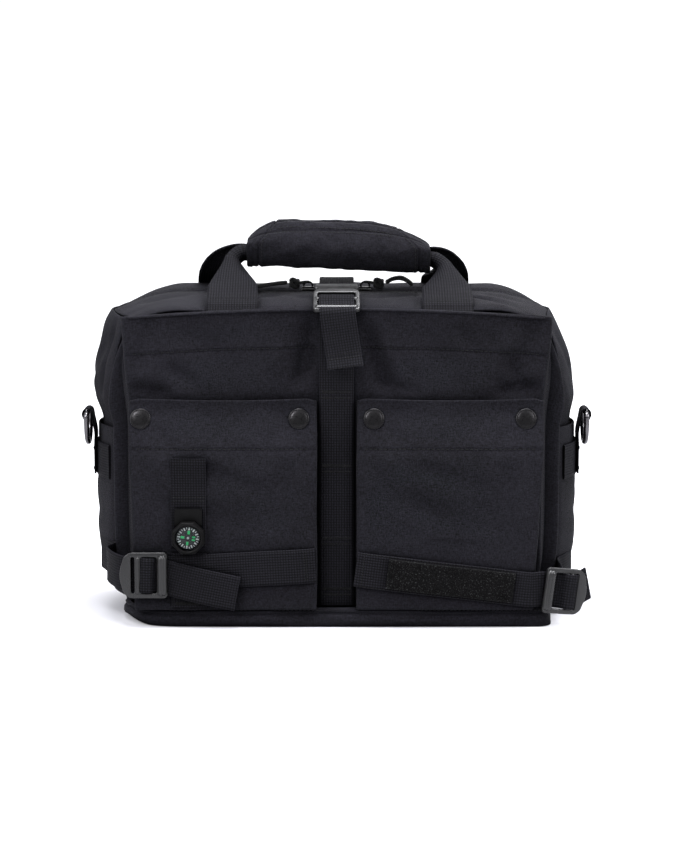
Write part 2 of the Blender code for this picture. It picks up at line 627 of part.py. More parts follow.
up_r = tuple(LR_M @ Vector((0, 0, 1)))
flat = [(14.4, STRAP_Y + 0.9, 42.4), (30, STRAP_Y, 40.6), (55, STRAP_Y, 37.6), (80, STRAP_Y, 34.7),
        (105, STRAP_Y, 31.8), (126, STRAP_Y, 29.3), (138, STRAP_Y + 0.2, 28.0)]
thread = [lock_point(-17.0, 2.7), lock_point(-9.0, 2.6), lock_point(-3.6, 1.5), lock_point(-1.0, -0.6),
          lock_point(1.2, -2.6), lock_point(4.2, -2.9), lock_point(7.2, -2.4), lock_point(8.6, -0.3),
          lock_point(9.8, 2.0), lock_point(14.0, 3.4), lock_point(20.0, 5.4)]
strap_r = flat + thread
ribbon("strap_right", strap_r, [(0.115, 0, 1)] * len(flat) + [up_r] * len(thread), WEB_25)

# hook-and-loop strip sewn to the right strap
ribbon("hook_loop_strip", [(33.2 + 3.0, STRAP_Y - 2.0, 39.95), (66, STRAP_Y - 2.0, 36.3), (97, STRAP_Y - 2.0, 32.8),
                           (126.0, STRAP_Y - 2.0, 29.4)], [(0.125, 0, 1)] * 4, 21.6, 1.8, (0.004, 0.004, 0.004))

anchor_r = [(side_x(-6, 48) + 0.9, -6.0, 31.5), (side_x(-20, 48) + 0.9, -20.0, 31.0),
            (side_x(-32, 48) + 1.8, -32.0, 30.2), (163.0, -46.0, 28.6), (164.2, -56.0, 27.0),
            (164.6, -60.2, 26.4)]
ribbon("anchor_right", anchor_r, [(0, 0, 1)] * len(anchor_r), WEB_25)

# ---------------------------------------------------------------- compass on its strap
LOW_Y = POCKET_Y - 0.4 - WEB_T / 2
ribbon("compass_webbing_lower", [(COMPASS_X, LOW_Y, z) for z in (14.6, 30, 45, POCKET_SPLIT_Z - 4.6)],
       [(1, 0, 0)] * 4, WEB_25, 1.2)
cw = ribbon("compass_webbing_upper",
            [(COMPASS_X, pocket_y(z) - 0.4 - WEB_T / 2 - (1.6 * step(104, 122, z)), z)
             for z in (POCKET_SPLIT_Z + 0.5, 70, 82, 94, 104, 113, 118, 122)],
            [(1, 0, 0)] * 8, WEB_25, 1.2)
set_origin(cw, (COMPASS_X, POCKET_Y, POCKET_SPLIT_Z))

case_back = POCKET_Y - 2.2
apothem = COMPASS_FLATS / 2
octagon = [(apothem / cos(pi / 8) * cos(pi / 8 + k * pi / 4), apothem / cos(pi / 8) * sin(pi / 8 + k * pi / 4))
           for k in range(8)]
case_ring = plate("compass_case", [octagon], 9.0, (0.02, 0.02, 0.021), 0.35, 0.9, 2)
case_ring.rotation_euler = (pi / 2, 0, 0)
case_ring.location = Vector((COMPASS_X, case_back - 4.5, COMPASS_Z)) * MM


def as_mesh(ob):
    """Turn a curve object and its modifiers into a welded mesh, so that it can be cut."""
    bpy.context.view_layer.update()
    dg = bpy.context.evaluated_depsgraph_get()
    me = bpy.data.meshes.new_from_object(ob.evaluated_get(dg))
    b = bmesh.new()
    b.from_mesh(me)
    bmesh.ops.remove_doubles(b, verts=b.verts, dist=0.00001)
    b.to_mesh(me)
    b.free()
    new = bpy.data.objects.new(ob.name + "_m", me)
    parts.objects.link(new)
    new.matrix_world = ob.matrix_world.copy()
    name = ob.name
    bpy.data.objects.remove(ob, do_unlink=True)
    new.name = name
    me.name = name
    return new


def round_cutter(name, radius, depth, centre):
    bm = bmesh.new()
    bmesh.ops.create_cone(bm, cap_ends=True, segments=24, radius1=radius * MM, radius2=radius * MM,
                          depth=depth * MM)
    ob = mesh_object(name, bm, (0.5, 0.5, 0.5), coll=cutters)
    ob.rotation_euler = (pi / 2, 0, 0)
    ob.location = Vector(centre) * MM
    ob.hide_render = True
    ob.display_type = "WIRE"
    return ob


case = as_mesh(case_ring)
# the tab above the case, by which it is sewn under its strap
tab = cutter("add_tab", (19.4, 2.4, 11.6), (COMPASS_X, case_back - 1.6, COMPASS_Z + apothem + 2.9))
joined = case.modifiers.new("Tab", "BOOLEAN")
joined.operation = "UNION"
joined.solver = "EXACT"
joined.object = tab
cut(case, round_cutter("cut_bowl", 9.0, 8.0, (COMPASS_X, case_back - 9.0 + 0.6, COMPASS_Z)))
dial = turned("compass_dial", [(0.0, 1.6), (1.2, 1.4), (1.4, 0.9), (8.5, 0.9), (8.5, 0.0), (0.0, 0.0)],
              (0.02, 0.02, 0.02), 0.5, 0.0, 28)
dial.rotation_euler = (pi / 2, 0, 0)
dial.location = Vector((COMPASS_X, case_back - 5.2, COMPASS_Z)) * MM
lens = turned("compass_lens", [(0.0, 1.1), (6.0, 0.95), (8.6, 0.5), (8.6, 0.0), (0.0, 0.0)],
              (0.8, 0.8, 0.8), 0.05, 0.0, 28)
lens.rotation_euler = (pi / 2, 0, 0)
lens.location = Vector((COMPASS_X, case_back - 7.7, COMPASS_Z)) * MM
# ---------------------------------------------------------------- sides: pockets, bands and D-rings
for side, s in (("left", -1), ("right", 1)):
    def pocket_side(u, v, s=s):
        y = -31.0 + 82.0 * (u if s > 0 else 1 - u)
        z = Z0 + 1.0 + v * (138.0 - Z0 - 1.0)
        k = int(round(u * 10))
        x = side_x(y, z) - 0.6
        if k == 0 or k == 10:
            x = gusset_x(y, z) + 0.9 + POCKET_FABRIC
        return (s * x, y, z)
    panel("side_pocket_" + side, pocket_side, 10, 8, 1.2)

    ys = [-27, -14, -1, 12, 25, 38, 49]
    if s < 0:
        ys = ys[::-1]
    ribbon("side_band_" + side, [(s * (side_x(y, 112) + 0.5), y, 112.5) for y in ys], [(0, 0, 1)] * 7, WEB_25)

    # the loop that holds the ring, sewn to the band
    xo = s * (side_x(WIDEST_Y, 112) + 2.4)
    ring_x = s * D_RING_X
    loop = [(xo, D_RING_Y, 101), (xo, D_RING_Y, 118), (xo, D_RING_Y, 132), (ring_x - s * 3.6, D_RING_Y, 142.5),
            (ring_x - s * 2.4, D_RING_Y, 147.6), (ring_x, D_RING_Y, 149.0), (ring_x + s * 2.4, D_RING_Y, 147.6),
            (ring_x + s * 3.3, D_RING_Y, 145.0), (ring_x + s * 2.2, D_RING_Y, 141.6)]
    ribbon("ring_loop_" + side, loop, [(0, s, 0)] * len(loop), 19.0, 1.2)

    hw, ht = 13.4, 22.0
    ring = []
    for k in range(22):
        a = pi * k / 21.0
        ring.append((ring_x, D_RING_Y + hw * cos(a), D_RING_Z - 6.0 - (ht - 6.0) * sin(a)))
    ring = [(ring_x, D_RING_Y + hw, D_RING_Z - 1.2), (ring_x, D_RING_Y + hw, D_RING_Z - 3.0)] + ring
    ring += [(ring_x, D_RING_Y - hw, D_RING_Z - 3.0), (ring_x, D_RING_Y - hw, D_RING_Z - 1.2),
             (ring_x, D_RING_Y - hw + 1.2, D_RING_Z), (ring_x, D_RING_Y, D_RING_Z),
             (ring_x, D_RING_Y + hw - 1.2, D_RING_Z)]
    ob = tube("d_ring_" + side, ring, D_RING_WIRE, METAL_COL, True, 0.3, 1.0)
    for sp in ob.data.splines:
        for q in sp.points:
            q.co.x -= ring_x * MM
            q.co.y -= D_RING_Y * MM
            q.co.z -= D_RING_Z * MM
    ob.location = Vector((ring_x, D_RING_Y, D_RING_Z)) * MM
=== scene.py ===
"""Flight bag, final look: fabric, webbing, hardware, light and camera."""
import math

import bmesh
import bpy
import numpy as np
from mathutils import Matrix, Vector


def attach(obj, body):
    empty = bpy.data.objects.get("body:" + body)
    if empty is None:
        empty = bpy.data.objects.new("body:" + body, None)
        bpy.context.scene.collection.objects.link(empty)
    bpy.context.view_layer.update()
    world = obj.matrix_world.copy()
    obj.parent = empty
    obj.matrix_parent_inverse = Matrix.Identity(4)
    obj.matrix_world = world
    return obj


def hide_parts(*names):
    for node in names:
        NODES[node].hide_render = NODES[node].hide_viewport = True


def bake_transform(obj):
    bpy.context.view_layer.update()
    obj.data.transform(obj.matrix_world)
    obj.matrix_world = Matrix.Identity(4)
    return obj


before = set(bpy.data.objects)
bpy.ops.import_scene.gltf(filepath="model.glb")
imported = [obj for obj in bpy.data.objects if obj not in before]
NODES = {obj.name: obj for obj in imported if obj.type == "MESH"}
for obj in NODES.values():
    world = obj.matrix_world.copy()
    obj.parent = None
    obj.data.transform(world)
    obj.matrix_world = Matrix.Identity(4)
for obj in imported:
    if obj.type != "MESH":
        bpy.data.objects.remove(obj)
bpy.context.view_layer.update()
MM = 0.001
pi = math.pi

# ------------------------------------------------------------------ camera and light
scene = bpy.context.scene
scene.view_settings.view_transform = "Standard"
scene.view_settings.look = "None"
scene.view_settings.exposure = 0.0

cam_data = bpy.data.cameras.new("camera")
cam_data.sensor_width = 36.0
cam_data.lens = 95.9
cam = bpy.data.objects.new("camera", cam_data)
scene.collection.objects.link(cam)
AIM = Vector((0.0014, -0.06, 0.146))
EL = math.radians(8.0)
cam.location = AIM + Vector((0, -math.cos(EL), math.sin(EL))) * 1.6
cam.rotation_euler = (math.radians(90) - EL, 0, 0)
cam_data.clip_end = 50
scene.camera = cam

world = bpy.data.worlds.new("studio")
scene.world = world
world.use_nodes = True
wn = world.node_tree
wn.nodes.clear()
w_out = wn.nodes.new("ShaderNodeOutputWorld")
w_mix = wn.nodes.new("ShaderNodeMixShader")
w_path = wn.nodes.new("ShaderNodeLightPath")
w_white = wn.nodes.new("ShaderNodeBackground")
w_white.inputs["Color"].default_value = (1, 1, 1, 1)
w_white.inputs["Strength"].default_value = 1.05
w_soft = wn.nodes.new("ShaderNodeBackground")
w_tc = wn.nodes.new("ShaderNodeTexCoord")
w_sep = wn.nodes.new("ShaderNodeSeparateXYZ")
w_ramp = wn.nodes.new("ShaderNodeMapRange")
w_ramp.inputs["From Min"].default_value = -0.25
w_ramp.inputs["From Max"].default_value = 0.95
w_ramp.inputs["To Min"].default_value = 0.07
w_ramp.inputs["To Max"].default_value = 0.95
wn.links.new(w_tc.outputs["Generated"], w_sep.inputs[0])
wn.links.new(w_sep.outputs["Z"], w_ramp.inputs["Value"])
wn.links.new(w_ramp.outputs["Result"], w_soft.inputs["Strength"])
w_soft.inputs["Color"].default_value = (0.96, 0.97, 1.02, 1)
wn.links.new(w_path.outputs["Is Camera Ray"], w_mix.inputs["Fac"])
wn.links.new(w_soft.outputs[0], w_mix.inputs[1])
wn.links.new(w_white.outputs[0], w_mix.inputs[2])
wn.links.new(w_mix.outputs[0], w_out.inputs["Surface"])


def area(name, loc, target, sx, sy, power, colour=(0.98, 0.98, 1.02)):
    d = bpy.data.lights.new(name, "AREA")
    d.shape = "RECTANGLE"
    d.size, d.size_y = sx, sy
    d.energy = power
    d.color = colour
    o = bpy.data.objects.new(name, d)
    scene.collection.objects.link(o)
    o.location = loc
    o.rotation_euler = (Vector(target) - Vector(loc)).to_track_quat("-Z", "Y").to_euler()
    return o


area("key_top", (0.15, -0.20, 1.75), (0, 0, 0.15), 1.5, 0.7, 84.0)
area("front_left", (-0.95, -1.7, 1.35), (0, -0.06, 0.15), 0.5, 0.5, 26.0)
area("front_right", (1.05, -1.6, 1.1), (0, -0.06, 0.15), 0.45, 0.5, 8.0)
area("fill_left", (-1.7, -0.9, 0.9), (0, 0, 0.12), 0.9, 1.2, 26.0)
area("fill_right", (1.8, -0.7, 1.0), (0, 0, 0.12), 0.8, 1.2, 34.0)
area("back_rim", (0.2, 1.6, 1.2), (0, 0, 0.2), 1.6, 0.8, 12.0)

# ------------------------------------------------------------------ shape of the bag, mm
BODY_HALF_WIDTH, BASE_HALF_WIDTH, SHOULDER_HALF_WIDTH = 176.0, 157.0, 156.0
BACK_Y, INNER_FRONT_Y, SLIP_Y, POCKET_Y, WIDEST_Y = 62.0, -40.0, -57.0, -70.0, 12.0
BASE_H, CROWN_Z, ZIP_Y, SHOULDER_Z, SLIP_TOP_Z = 12.0, 234.0, 14.0, 221.5, 227.0
POCKET_TOP_Z, POCKET_SPLIT_Z, POCKET_IN_X, POCKET_OUT_X = 163.0, 58.6, 14.2, 147.0
GRIP_X, GRIP_Y, GRIP_Z, GRIP_HALF_L, GRIP_HALF_H, GRIP_HALF_D = 1.5, 0.0, 268.0, 66.0, 17.5, 15.0
GRIP_TILT = math.radians(2.0)
STRAP_Y = -72.9
COMPASS_X, COMPASS_Z = -105.0, 66.5


def step(a, b, x):
    t = np.clip((np.asarray(x, float) - a) / (b - a), 0, 1)
    return t * t * (3 - 2 * t)


def bump1(x, w):
    return np.exp(-(np.asarray(x, float) / w) ** 2)


class Lattice:
    """Smooth seeded noise on a plane, the same each run."""

    def __init__(self, seed):
        self.t = np.random.default_rng(seed).uniform(-1, 1, (128, 128))

    def at(self, x, y, size):
        x, y = np.asarray(x, float) / size + 31.7, np.asarray(y, float) / size + 17.3
        xi, yi = np.floor(x).astype(int), np.floor(y).astype(int)
        fx, fy = x - xi, y - yi
        fx, fy = fx * fx * (3 - 2 * fx), fy * fy * (3 - 2 * fy)
        g = lambda a, b: self.t[a % 128, b % 128]
        return ((g(xi, yi) * (1 - fx) + g(xi + 1, yi) * fx) * (1 - fy)
                + (g(xi, yi + 1) * (1 - fx) + g(xi + 1, yi + 1) * fx) * fy)

    def fbm(self, x, y, size, octaves=3):
        out, amp = 0.0, 1.0
        for k in range(octaves):
            out = out + amp * self.at(np.asarray(x) + 7.3 * k, np.asarray(y) - 5.1 * k, size / 2 ** k)
            amp *= 0.5
        return out


def crease(x, z, a, b, width, depth, fade=0.35):
    """A soft valley (depth < 0) or ridge along the line from a to b, fading at its ends."""
    a, b = np.array(a, float), np.array(b, float)
    d = b - a
    length = np.hypot(*d)
    t = ((x - a[0]) * d[0] + (z - a[1]) * d[1]) / length ** 2
    across = ((x - a[0]) * -d[1] + (z - a[1]) * d[0]) / length
    ends = step(-fade * 0.5, fade, t) * (1 - step(1 - fade, 1 + fade * 0.5, t))
    return depth * ends * np.exp(-(across / width) ** 2)


def half_width(z):
    z = np.asarray(z, float)
    low = BODY_HALF_WIDTH - (BODY_HALF_WIDTH - BASE_HALF_WIDTH) * (1 - np.clip(z, 0, 100) / 100.0) ** 4.5
    high = BODY_HALF_WIDTH - (BODY_HALF_WIDTH - SHOULDER_HALF_WIDTH) * (np.clip(z - 150, 0, None) / 72.0) ** 2.3
    return np.where(z < 100, low, high)


def side_x(y, z):
    front = 22.0 - 12.0 * step(140, 220, z)
    y = np.asarray(y, float)
    return half_width(z) - np.where(y < WIDEST_Y, front * ((y - WIDEST_Y) / 52.0) ** 2,
                                    14.0 * ((y - WIDEST_Y) / 50.0) ** 2)


def gusset_x(y, z):
    return side_x(y, z) - 3.4 * (1 - step(140, 160, z))


def crown(x):
    return CROWN_Z - 12.0 * (np.clip(np.abs(x) - 110.0, 0, None) / 42.0) ** 2


def drop(y):
    return 5.0 * ((np.asarray(y, float) - ZIP_Y) / 54.0) ** 2


def top_z(x, y):
    return crown(x) - drop(y)


def slip_half(z):
    return 146.0 + 7.0 * step(150, 222, z) - 3.0 * (1 - step(12, 50, z))


def slip_top(x):
    return SLIP_TOP_Z - 6.5 * (np.abs(x) / 153.0) ** 2


def pocket_y(z):
    return POCKET_Y + 8.0 * step(118, POCKET_TOP_Z, z)


# ------------------------------------------------------------------ node-tree helper
class Tree:
    def __init__(self, name):
        self.m = bpy.data.materials.new(name)
        self.m.use_nodes = True
        self.t = self.m.node_tree
        self.t.nodes.clear()
        self.out = self.t.nodes.new("ShaderNodeOutputMaterial")

    def node(self, kind, **inputs):
        n = self.t.nodes.new("ShaderNode" + kind)
        for k, v in inputs.items():
            if k.startswith("p_"):
                setattr(n, k[2:], v)
                continue
            s = n.inputs[int(k[1:])] if k[0] == "i" and k[1:].isdigit() else n.inputs[k.replace("_", " ")]
            self.put(s, v)
        return n

    def put(self, socket, v):
        if isinstance(v, bpy.types.NodeSocket):
            self.t.links.new(v, socket)
        elif isinstance(v, bpy.types.Node):
            self.t.links.new(v.outputs[0], socket)
        else:
            socket.default_value = v

    def math(self, op, a, b=0.0, c=None):
        n = self.t.nodes.new("ShaderNodeMath")
        n.operation = op
        self.put(n.inputs[0], a)
        self.put(n.inputs[1], b)
        if c is not None:
            self.put(n.inputs[2], c)
        return n.outputs[0]

    def mix(self, fac, a, b):
        n = self.t.nodes.new("ShaderNodeMix")
        n.data_type = "RGBA"
        self.put(n.inputs[0], fac)
        self.put(n.inputs[6], a)
        self.put(n.inputs[7], b)
        return n.outputs[2]

    def range(self, v, a, b, c, d):
        n = self.node("MapRange", Value=v)
        n.inputs[1].default_value, n.inputs[2].default_value = a, b
        n.inputs[3].default_value, n.inputs[4].default_value = c, d
        return n.outputs[0]

    def cloth(self):
        """s and t, the place on the flat cloth in metres."""
        a = self.t.nodes.new("ShaderNodeAttribute")
        a.attribute_name = "cloth"
        s = self.node("SeparateXYZ", i0=a.outputs["Vector"])
        return a.outputs["Vector"], s.outputs[0], s.outputs[1], s.outputs[2]

    def where(self):
        return self.t.nodes.new("ShaderNodeTexCoord").outputs["Object"]

    def noise(self, vec, scale, detail=3.0, rough=0.55):
        n = self.node("TexNoise", Vector=vec, Scale=scale, Detail=detail, Roughness=rough)
        return n.outputs["Fac"]

    def bump(self, height, strength, distance, normal=None):
        n = self.node("Bump", Height=height, Strength=strength, Distance=distance)
        if normal is not None:
            self.put(n.inputs["Normal"], normal)
        return n.outputs["Normal"]

    def shade(self, colour, distance=0.012, low=0.30):
        """Painted shade: the colour is darkened by ambient occlusion in gaps and creases, where shade falls on the
        black cloth; the occlusion factor is returned as well.
        """
        # painted shade: the occlusion factor darkens the colour towards black
        ao = self.node("AmbientOcclusion", Distance=distance)
        ao.samples = 8
        k = self.range(ao.outputs["AO"], 0.35, 0.95, low, 1.0)
        return self.mix(k, (0, 0, 0, 1), colour), k

    def surface(self, **inputs):
        b = self.node("BsdfPrincipled", **inputs)
        self.t.links.new(b.outputs[0], self.out.inputs["Surface"])
        return b


def grey(v, tint=(1, 1, 1)):
    return (v * tint[0], v * tint[1], v * tint[2], 1)


def fabric_material(name, dark, light, pitch=0.00062, tint=(0.96, 0.93, 1.26), rough=0.78, sheen=0.012):
    """Coated plain-weave nylon: crossing yarns, slubs, and slow changes of tone."""
    t = Tree(name)
    vec, s, u, _ = t.cloth()
    ws = t.math("SINE", t.math("MULTIPLY", s, 2 * pi / pitch))
    wt = t.math("SINE", t.math("MULTIPLY", u, 2 * pi / pitch))
    weave = t.math("MULTIPLY", ws, wt)
    stretch = t.node("Mapping", Vector=vec)
    stretch.inputs["Scale"].default_value = (1.0, 0.28, 1.0)
    slub_a = t.noise(stretch.outputs[0], 1000.0, 2.0, 0.6)
    stretch2 = t.node("Mapping", Vector=vec)
    stretch2.inputs["Scale"].default_value = (0.28, 1.0, 1.0)
    slub_b = t.noise(stretch2.outputs[0], 900.0, 2.0, 0.6)
    slub = t.math("ADD", slub_a, slub_b)
    fine = t.noise(vec, 820.0, 2.0, 0.75)
    broad = t.noise(t.where(), 14.0, 4.0, 0.55)
    tone = t.math("ADD", t.math("MULTIPLY", t.math("SUBTRACT", slub, 1.0), 0.9),
                  t.math("MULTIPLY", t.math("SUBTRACT", fine, 0.5), 1.7))
    tone = t.math("ADD", tone, t.math("MULTIPLY", weave, 0.16))
    tone = t.math("ADD", tone, t.math("MULTIPLY", t.math("SUBTRACT", broad, 0.5), 0.55))
    fac = t.range(tone, -0.38, 0.44, 0.0, 1.0)
    colour = t.mix(fac, grey(dark, tint), grey(light, tint))
    # painted shade: the cloth's colour is darkened in gaps and creases by ambient occlusion
    colour, k = t.shade(colour)
    height = t.math("ADD", t.math("MULTIPLY", weave, 0.5), t.math("MULTIPLY", slub, 1.1))
    height = t.math("ADD", height, t.math("MULTIPLY", fine, 1.2))
    n1 = t.bump(height, 0.75, 0.00022)
    n2 = t.bump(t.noise(t.where(), 90.0, 3.0, 0.5), 0.25, 0.0006, n1)
    # painted shade on reflections: specular and sheen are scaled down by the same occlusion factor k
    t.surface(Base_Color=colour, Roughness=t.range(fine, 0.3, 0.7, rough - 0.07, rough + 0.07), Normal=n2,
              Specular_IOR_Level=t.math("MULTIPLY", k, 0.07), Sheen_Weight=t.math("MULTIPLY", k, sheen),
              Sheen_Roughness=0.5)
    return t.m


def webbing_material(name, dark, light, rib=0.0016, cross=0.0011, rough=0.72):
    """Ribbed nylon webbing: ridges along it, picks across it, and a firmer edge."""
    t = Tree(name)
    vec, s, u, edge = t.cloth()
    ribs = t.math("ABSOLUTE", t.math("SINE", t.math("MULTIPLY", s, pi / rib)))
    row = t.math("FLOOR", t.math("DIVIDE", s, rib))
    shift = t.math("MULTIPLY", t.math("MODULO", row, 2.0), 0.0)
    picks = t.math("ABSOLUTE", t.math("SINE", t.math("MULTIPLY", t.math("ADD", u, shift), pi / cross)))
    fine = t.noise(vec, 1300.0, 3.0, 0.6)
    broad = t.noise(t.where(), 22.0, 3.0, 0.5)
    tone = t.math("MULTIPLY", t.math("ADD", 0.12, ribs), t.math("ADD", 0.10, picks))
    tone = t.math("ADD", tone, t.math("MULTIPLY", t.math("SUBTRACT", fine, 0.5), 0.9))
    tone = t.math("ADD", tone, t.math("MULTIPLY", t.math("SUBTRACT", broad, 0.5), 0.4))
    tone = t.math("ADD", tone, t.math("MULTIPLY", edge, 120.0))
    fac = t.range(tone, 0.15, 1.05, 0.0, 1.0)
    colour = t.mix(fac, grey(dark, (0.96, 0.92, 1.28)), grey(light, (0.96, 0.92, 1.28)))
    # painted shade: the webbing's colour is darkened in gaps and creases by ambient occlusion
    colour, k = t.shade(colour)
    height = t.math("MULTIPLY", ribs, t.math("ADD", 0.35, t.math("MULTIPLY", picks, 0.65)))
    n1 = t.bump(height, 0.85, 0.00036)
    n2 = t.bump(fine, 0.2, 0.0001, n1)
    # painted shade on reflections: specular is scaled down by the same occlusion factor k
    t.surface(Base_Color=colour, Roughness=rough, Normal=n2, Specular_IOR_Level=t.math("MULTIPLY", k, 0.075),
              Sheen_Weight=0.004, Sheen_Roughness=0.45)
    return t.m


def plastic_material(name, base, rough, grain=0.35, spec=0.30):
    t = Tree(name)
    p = t.where()
    n = t.noise(p, 1600.0, 2.0, 0.5)
    w = t.noise(p, 120.0, 4.0, 0.6)
    geo = t.t.nodes.new("ShaderNodeNewGeometry")
    wear = t.range(geo.outputs["Pointiness"], 0.52, 0.60, 0.0, 1.0)
    wear = t.math("MULTIPLY", wear, t.range(w, 0.40, 0.70, 0.0, 0.7))
    colour = t.mix(wear, grey(base), grey(base * 2.4))
    # painted shade: the plastic's colour is darkened in recesses and gaps by ambient occlusion
    colour, k = t.shade(colour, 0.006, 0.35)
    nb = t.bump(n, grain, 0.00005)
    # painted shade on reflections: specular is scaled down by the same occlusion factor k
    t.surface(Base_Color=colour, Roughness=t.range(w, 0.3, 0.7, rough - 0.06, rough + 0.08), Normal=nb,
              Specular_IOR_Level=t.math("MULTIPLY", k, spec))
    return t.m


def metal_material(name, base, rough, scratch=0.2):
    t = Tree(name)
    p = t.where()
    m = t.node("Mapping", Vector=p)
    m.inputs["Scale"].default_value = (1.0, 1.0, 6.0)
    fine = t.noise(m.outputs[0], 900.0, 4.0, 0.6)
    w = t.noise(p, 160.0, 3.0, 0.5)
    nb = t.bump(fine, scratch, 0.00003)
    t.surface(Base_Color=t.mix(w, grey(base * 0.8, (1.0, 0.97, 1.0)), grey(base * 1.2, (1.0, 0.97, 1.0))),
              Metallic=1.0, Roughness=t.range(fine, 0.3, 0.7, rough - 0.05, rough + 0.08), Normal=nb)
    return t.m


M_FAB = fabric_material("fabric_body", 0.0005, 0.0116)

M_WEB = webbing_material("webbing_black", 0.0002, 0.0070, 0.0019, 0.0019)

M_TAPE = webbing_material("zip_tape_black", 0.0020, 0.0070, 0.0007, 0.0006)
M_PLA = plastic_material("buckle_plastic_black", 0.0046, 0.30, 0.12, 0.45)
M_RING = metal_material("gunmetal_ring", 0.11, 0.22)
M_SNAP = metal_material("snap_black", 0.022, 0.29, 0.15)
M_SLIDER = metal_material("slider_black", 0.016, 0.40)


def thread_material():
    t = Tree("thread_black")
    n = t.noise(t.where(), 2500.0, 2.0, 0.5)
    t.surface(Base_Color=t.mix(n, grey(0.003), grey(0.008)), Roughness=0.70, Specular_IOR_Level=0.14,
              Normal=t.bump(n, 0.4, 0.00006))
    return t.m


M_THREAD = thread_material()


# ------------------------------------------------------------------ mesh builders
def make_mesh(name, verts, faces, mat, cloth=None, smooth=True, sharp=None):
    me = bpy.data.meshes.new(name)
    me.from_pydata((np.asarray(verts, float) * MM).tolist(), [], faces)
    if cloth is not None:
        a = me.attributes.new("cloth", "FLOAT_VECTOR", "POINT")
        a.data.foreach_set("vector", np.asarray(cloth, np.float32).ravel())
    if smooth:
        me.shade_smooth()
        if sharp:
            me.set_sharp_from_angle(angle=math.radians(sharp))
    me.materials.append(mat)
    ob = bpy.data.objects.new(name, me)
    scene.collection.objects.link(ob)
    return ob


def grid_normals(p, closed_u=False, closed_v=False):
    if closed_u:
        du = np.roll(p, -1, 0) - np.roll(p, 1, 0)
    else:
        du = np.gradient(p, axis=0)
    if closed_v:
        dv = np.roll(p, -1, 1) - np.roll(p, 1, 1)
    else:
        dv = np.gradient(p, axis=1)
    n = np.cross(du, dv)
    return n / np.maximum(np.linalg.norm(n, axis=2, keepdims=True), 1e-9)


def arc(p, axis):
    d = np.linalg.norm(np.diff(p, axis=axis), axis=2)
    c = np.cumsum(d, axis=axis)
    pad = [(0, 0), (0, 0)]
    pad[axis] = (1, 0)
    return np.pad(c, pad)


SHEETS = {}


def finish_piece(ob, body, replaces):
    if replaces:
        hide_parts(*replaces)
    if body:
        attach(ob, body)
    return ob


def sheet(name, p, thick, mat, body="bag", replaces=(), flip=False, rim=0.5, thick_map=None,
          edge_fold=0.0):
    """A cloth panel whose outer face is the grid p (mm), with a rounded turned edge all round."""
    nu, nv = p.shape[:2]
    n = grid_normals(p)
    if flip:
        n = -n
    th = np.full((nu, nv), float(thick)) if thick_map is None else thick_map
    back = p - n * th[..., None]
    out = np.zeros_like(p)
    out[0] += p[0] - p[1]
    out[-1] += p[-1] - p[-2]
    out[:, 0] += p[:, 0] - p[:, 1]
    out[:, -1] += p[:, -1] - p[:, -2]
    ln = np.linalg.norm(out, axis=2, keepdims=True)
    out = out / np.maximum(ln, 1e-9)
    ids = np.arange(nu * nv).reshape(nu, nv)
    loop = np.concatenate([ids[:-1, 0], ids[-1, :-1], ids[:0:-1, -1], ids[0, :0:-1]])
    flat, fb, fo = p.reshape(-1, 3), back.reshape(-1, 3), out.reshape(-1, 3)
    fn, ft = n.reshape(-1, 3), th.reshape(-1)
    mids = []
    for k, off in ((0.22, 0.75), (0.5, 1.0), (0.78, 0.75)):
        mids.append(flat[loop] - fn[loop] * (ft[loop] * k)[:, None] + fo[loop] * (ft[loop] * rim * off)[:, None])
    verts = np.concatenate([flat, fb] + mids)
    s, t = arc(p, 0).mean(1, keepdims=True) + 0 * p[..., 0], arc(p, 1).mean(0, keepdims=True) + 0 * p[..., 0]
    cl = np.stack([s, t, 0 * s], 2).reshape(-1, 3) * MM
    cloth = np.concatenate([cl, cl] + [cl[loop]] * 3)
    q = np.stack([ids[:-1, :-1], ids[1:, :-1], ids[1:, 1:], ids[:-1, 1:]], -1).reshape(-1, 4)
    if flip:
        q = q[:, ::-1]
    faces = q.tolist() + (q[:, ::-1] + nu * nv).tolist()
    m, base = len(loop), 2 * nu * nv
    rings = [loop] + [np.arange(m) + base + k * m for k in range(3)] + [loop + nu * nv]
    for a, b in zip(rings, rings[1:]):
        for i in range(m):
            j = (i + 1) % m
            f = [int(a[i]), int(b[i]), int(b[j]), int(a[j])]
            faces.append(f[::-1] if flip else f)
    ob = make_mesh(name, verts, faces, mat, cloth)
    SHEETS[name] = (p, n)
    return finish_piece(ob, body, replaces)


def resample(points, gap):
    """Evenly spaced points on a Catmull-Rom curve through the given ones, with the matching parameter."""
    p = np.array(points, float)
    ext = np.vstack([2 * p[0] - p[1], p, 2 * p[-1] - p[-2]])
    fine, par = [], []
    for i in range(1, len(ext) - 2):
        a, b, c, d = ext[i - 1:i + 3]
        for t in np.linspace(0, 1, 24, endpoint=False):
            fine.append(0.5 * (2 * b + (c - a) * t + (2 * a - 5 * b + 4 * c - d) * t * t
                               + (3 * b - a - 3 * c + d) * t ** 3))
            par.append(i - 1 + t)
    fine.append(p[-1])
    par.append(len(p) - 1)
    fine, par = np.array(fine), np.array(par)
    along = np.concatenate([[0], np.cumsum(np.linalg.norm(np.diff(fine, axis=0), axis=1))])
    n = max(3, int(round(along[-1] / gap)) + 1)
    at = np.linspace(0, along[-1], n)
    return (np.stack([np.interp(at, along, fine[:, k]) for k in range(3)], 1),
            np.interp(at, along, par), at)


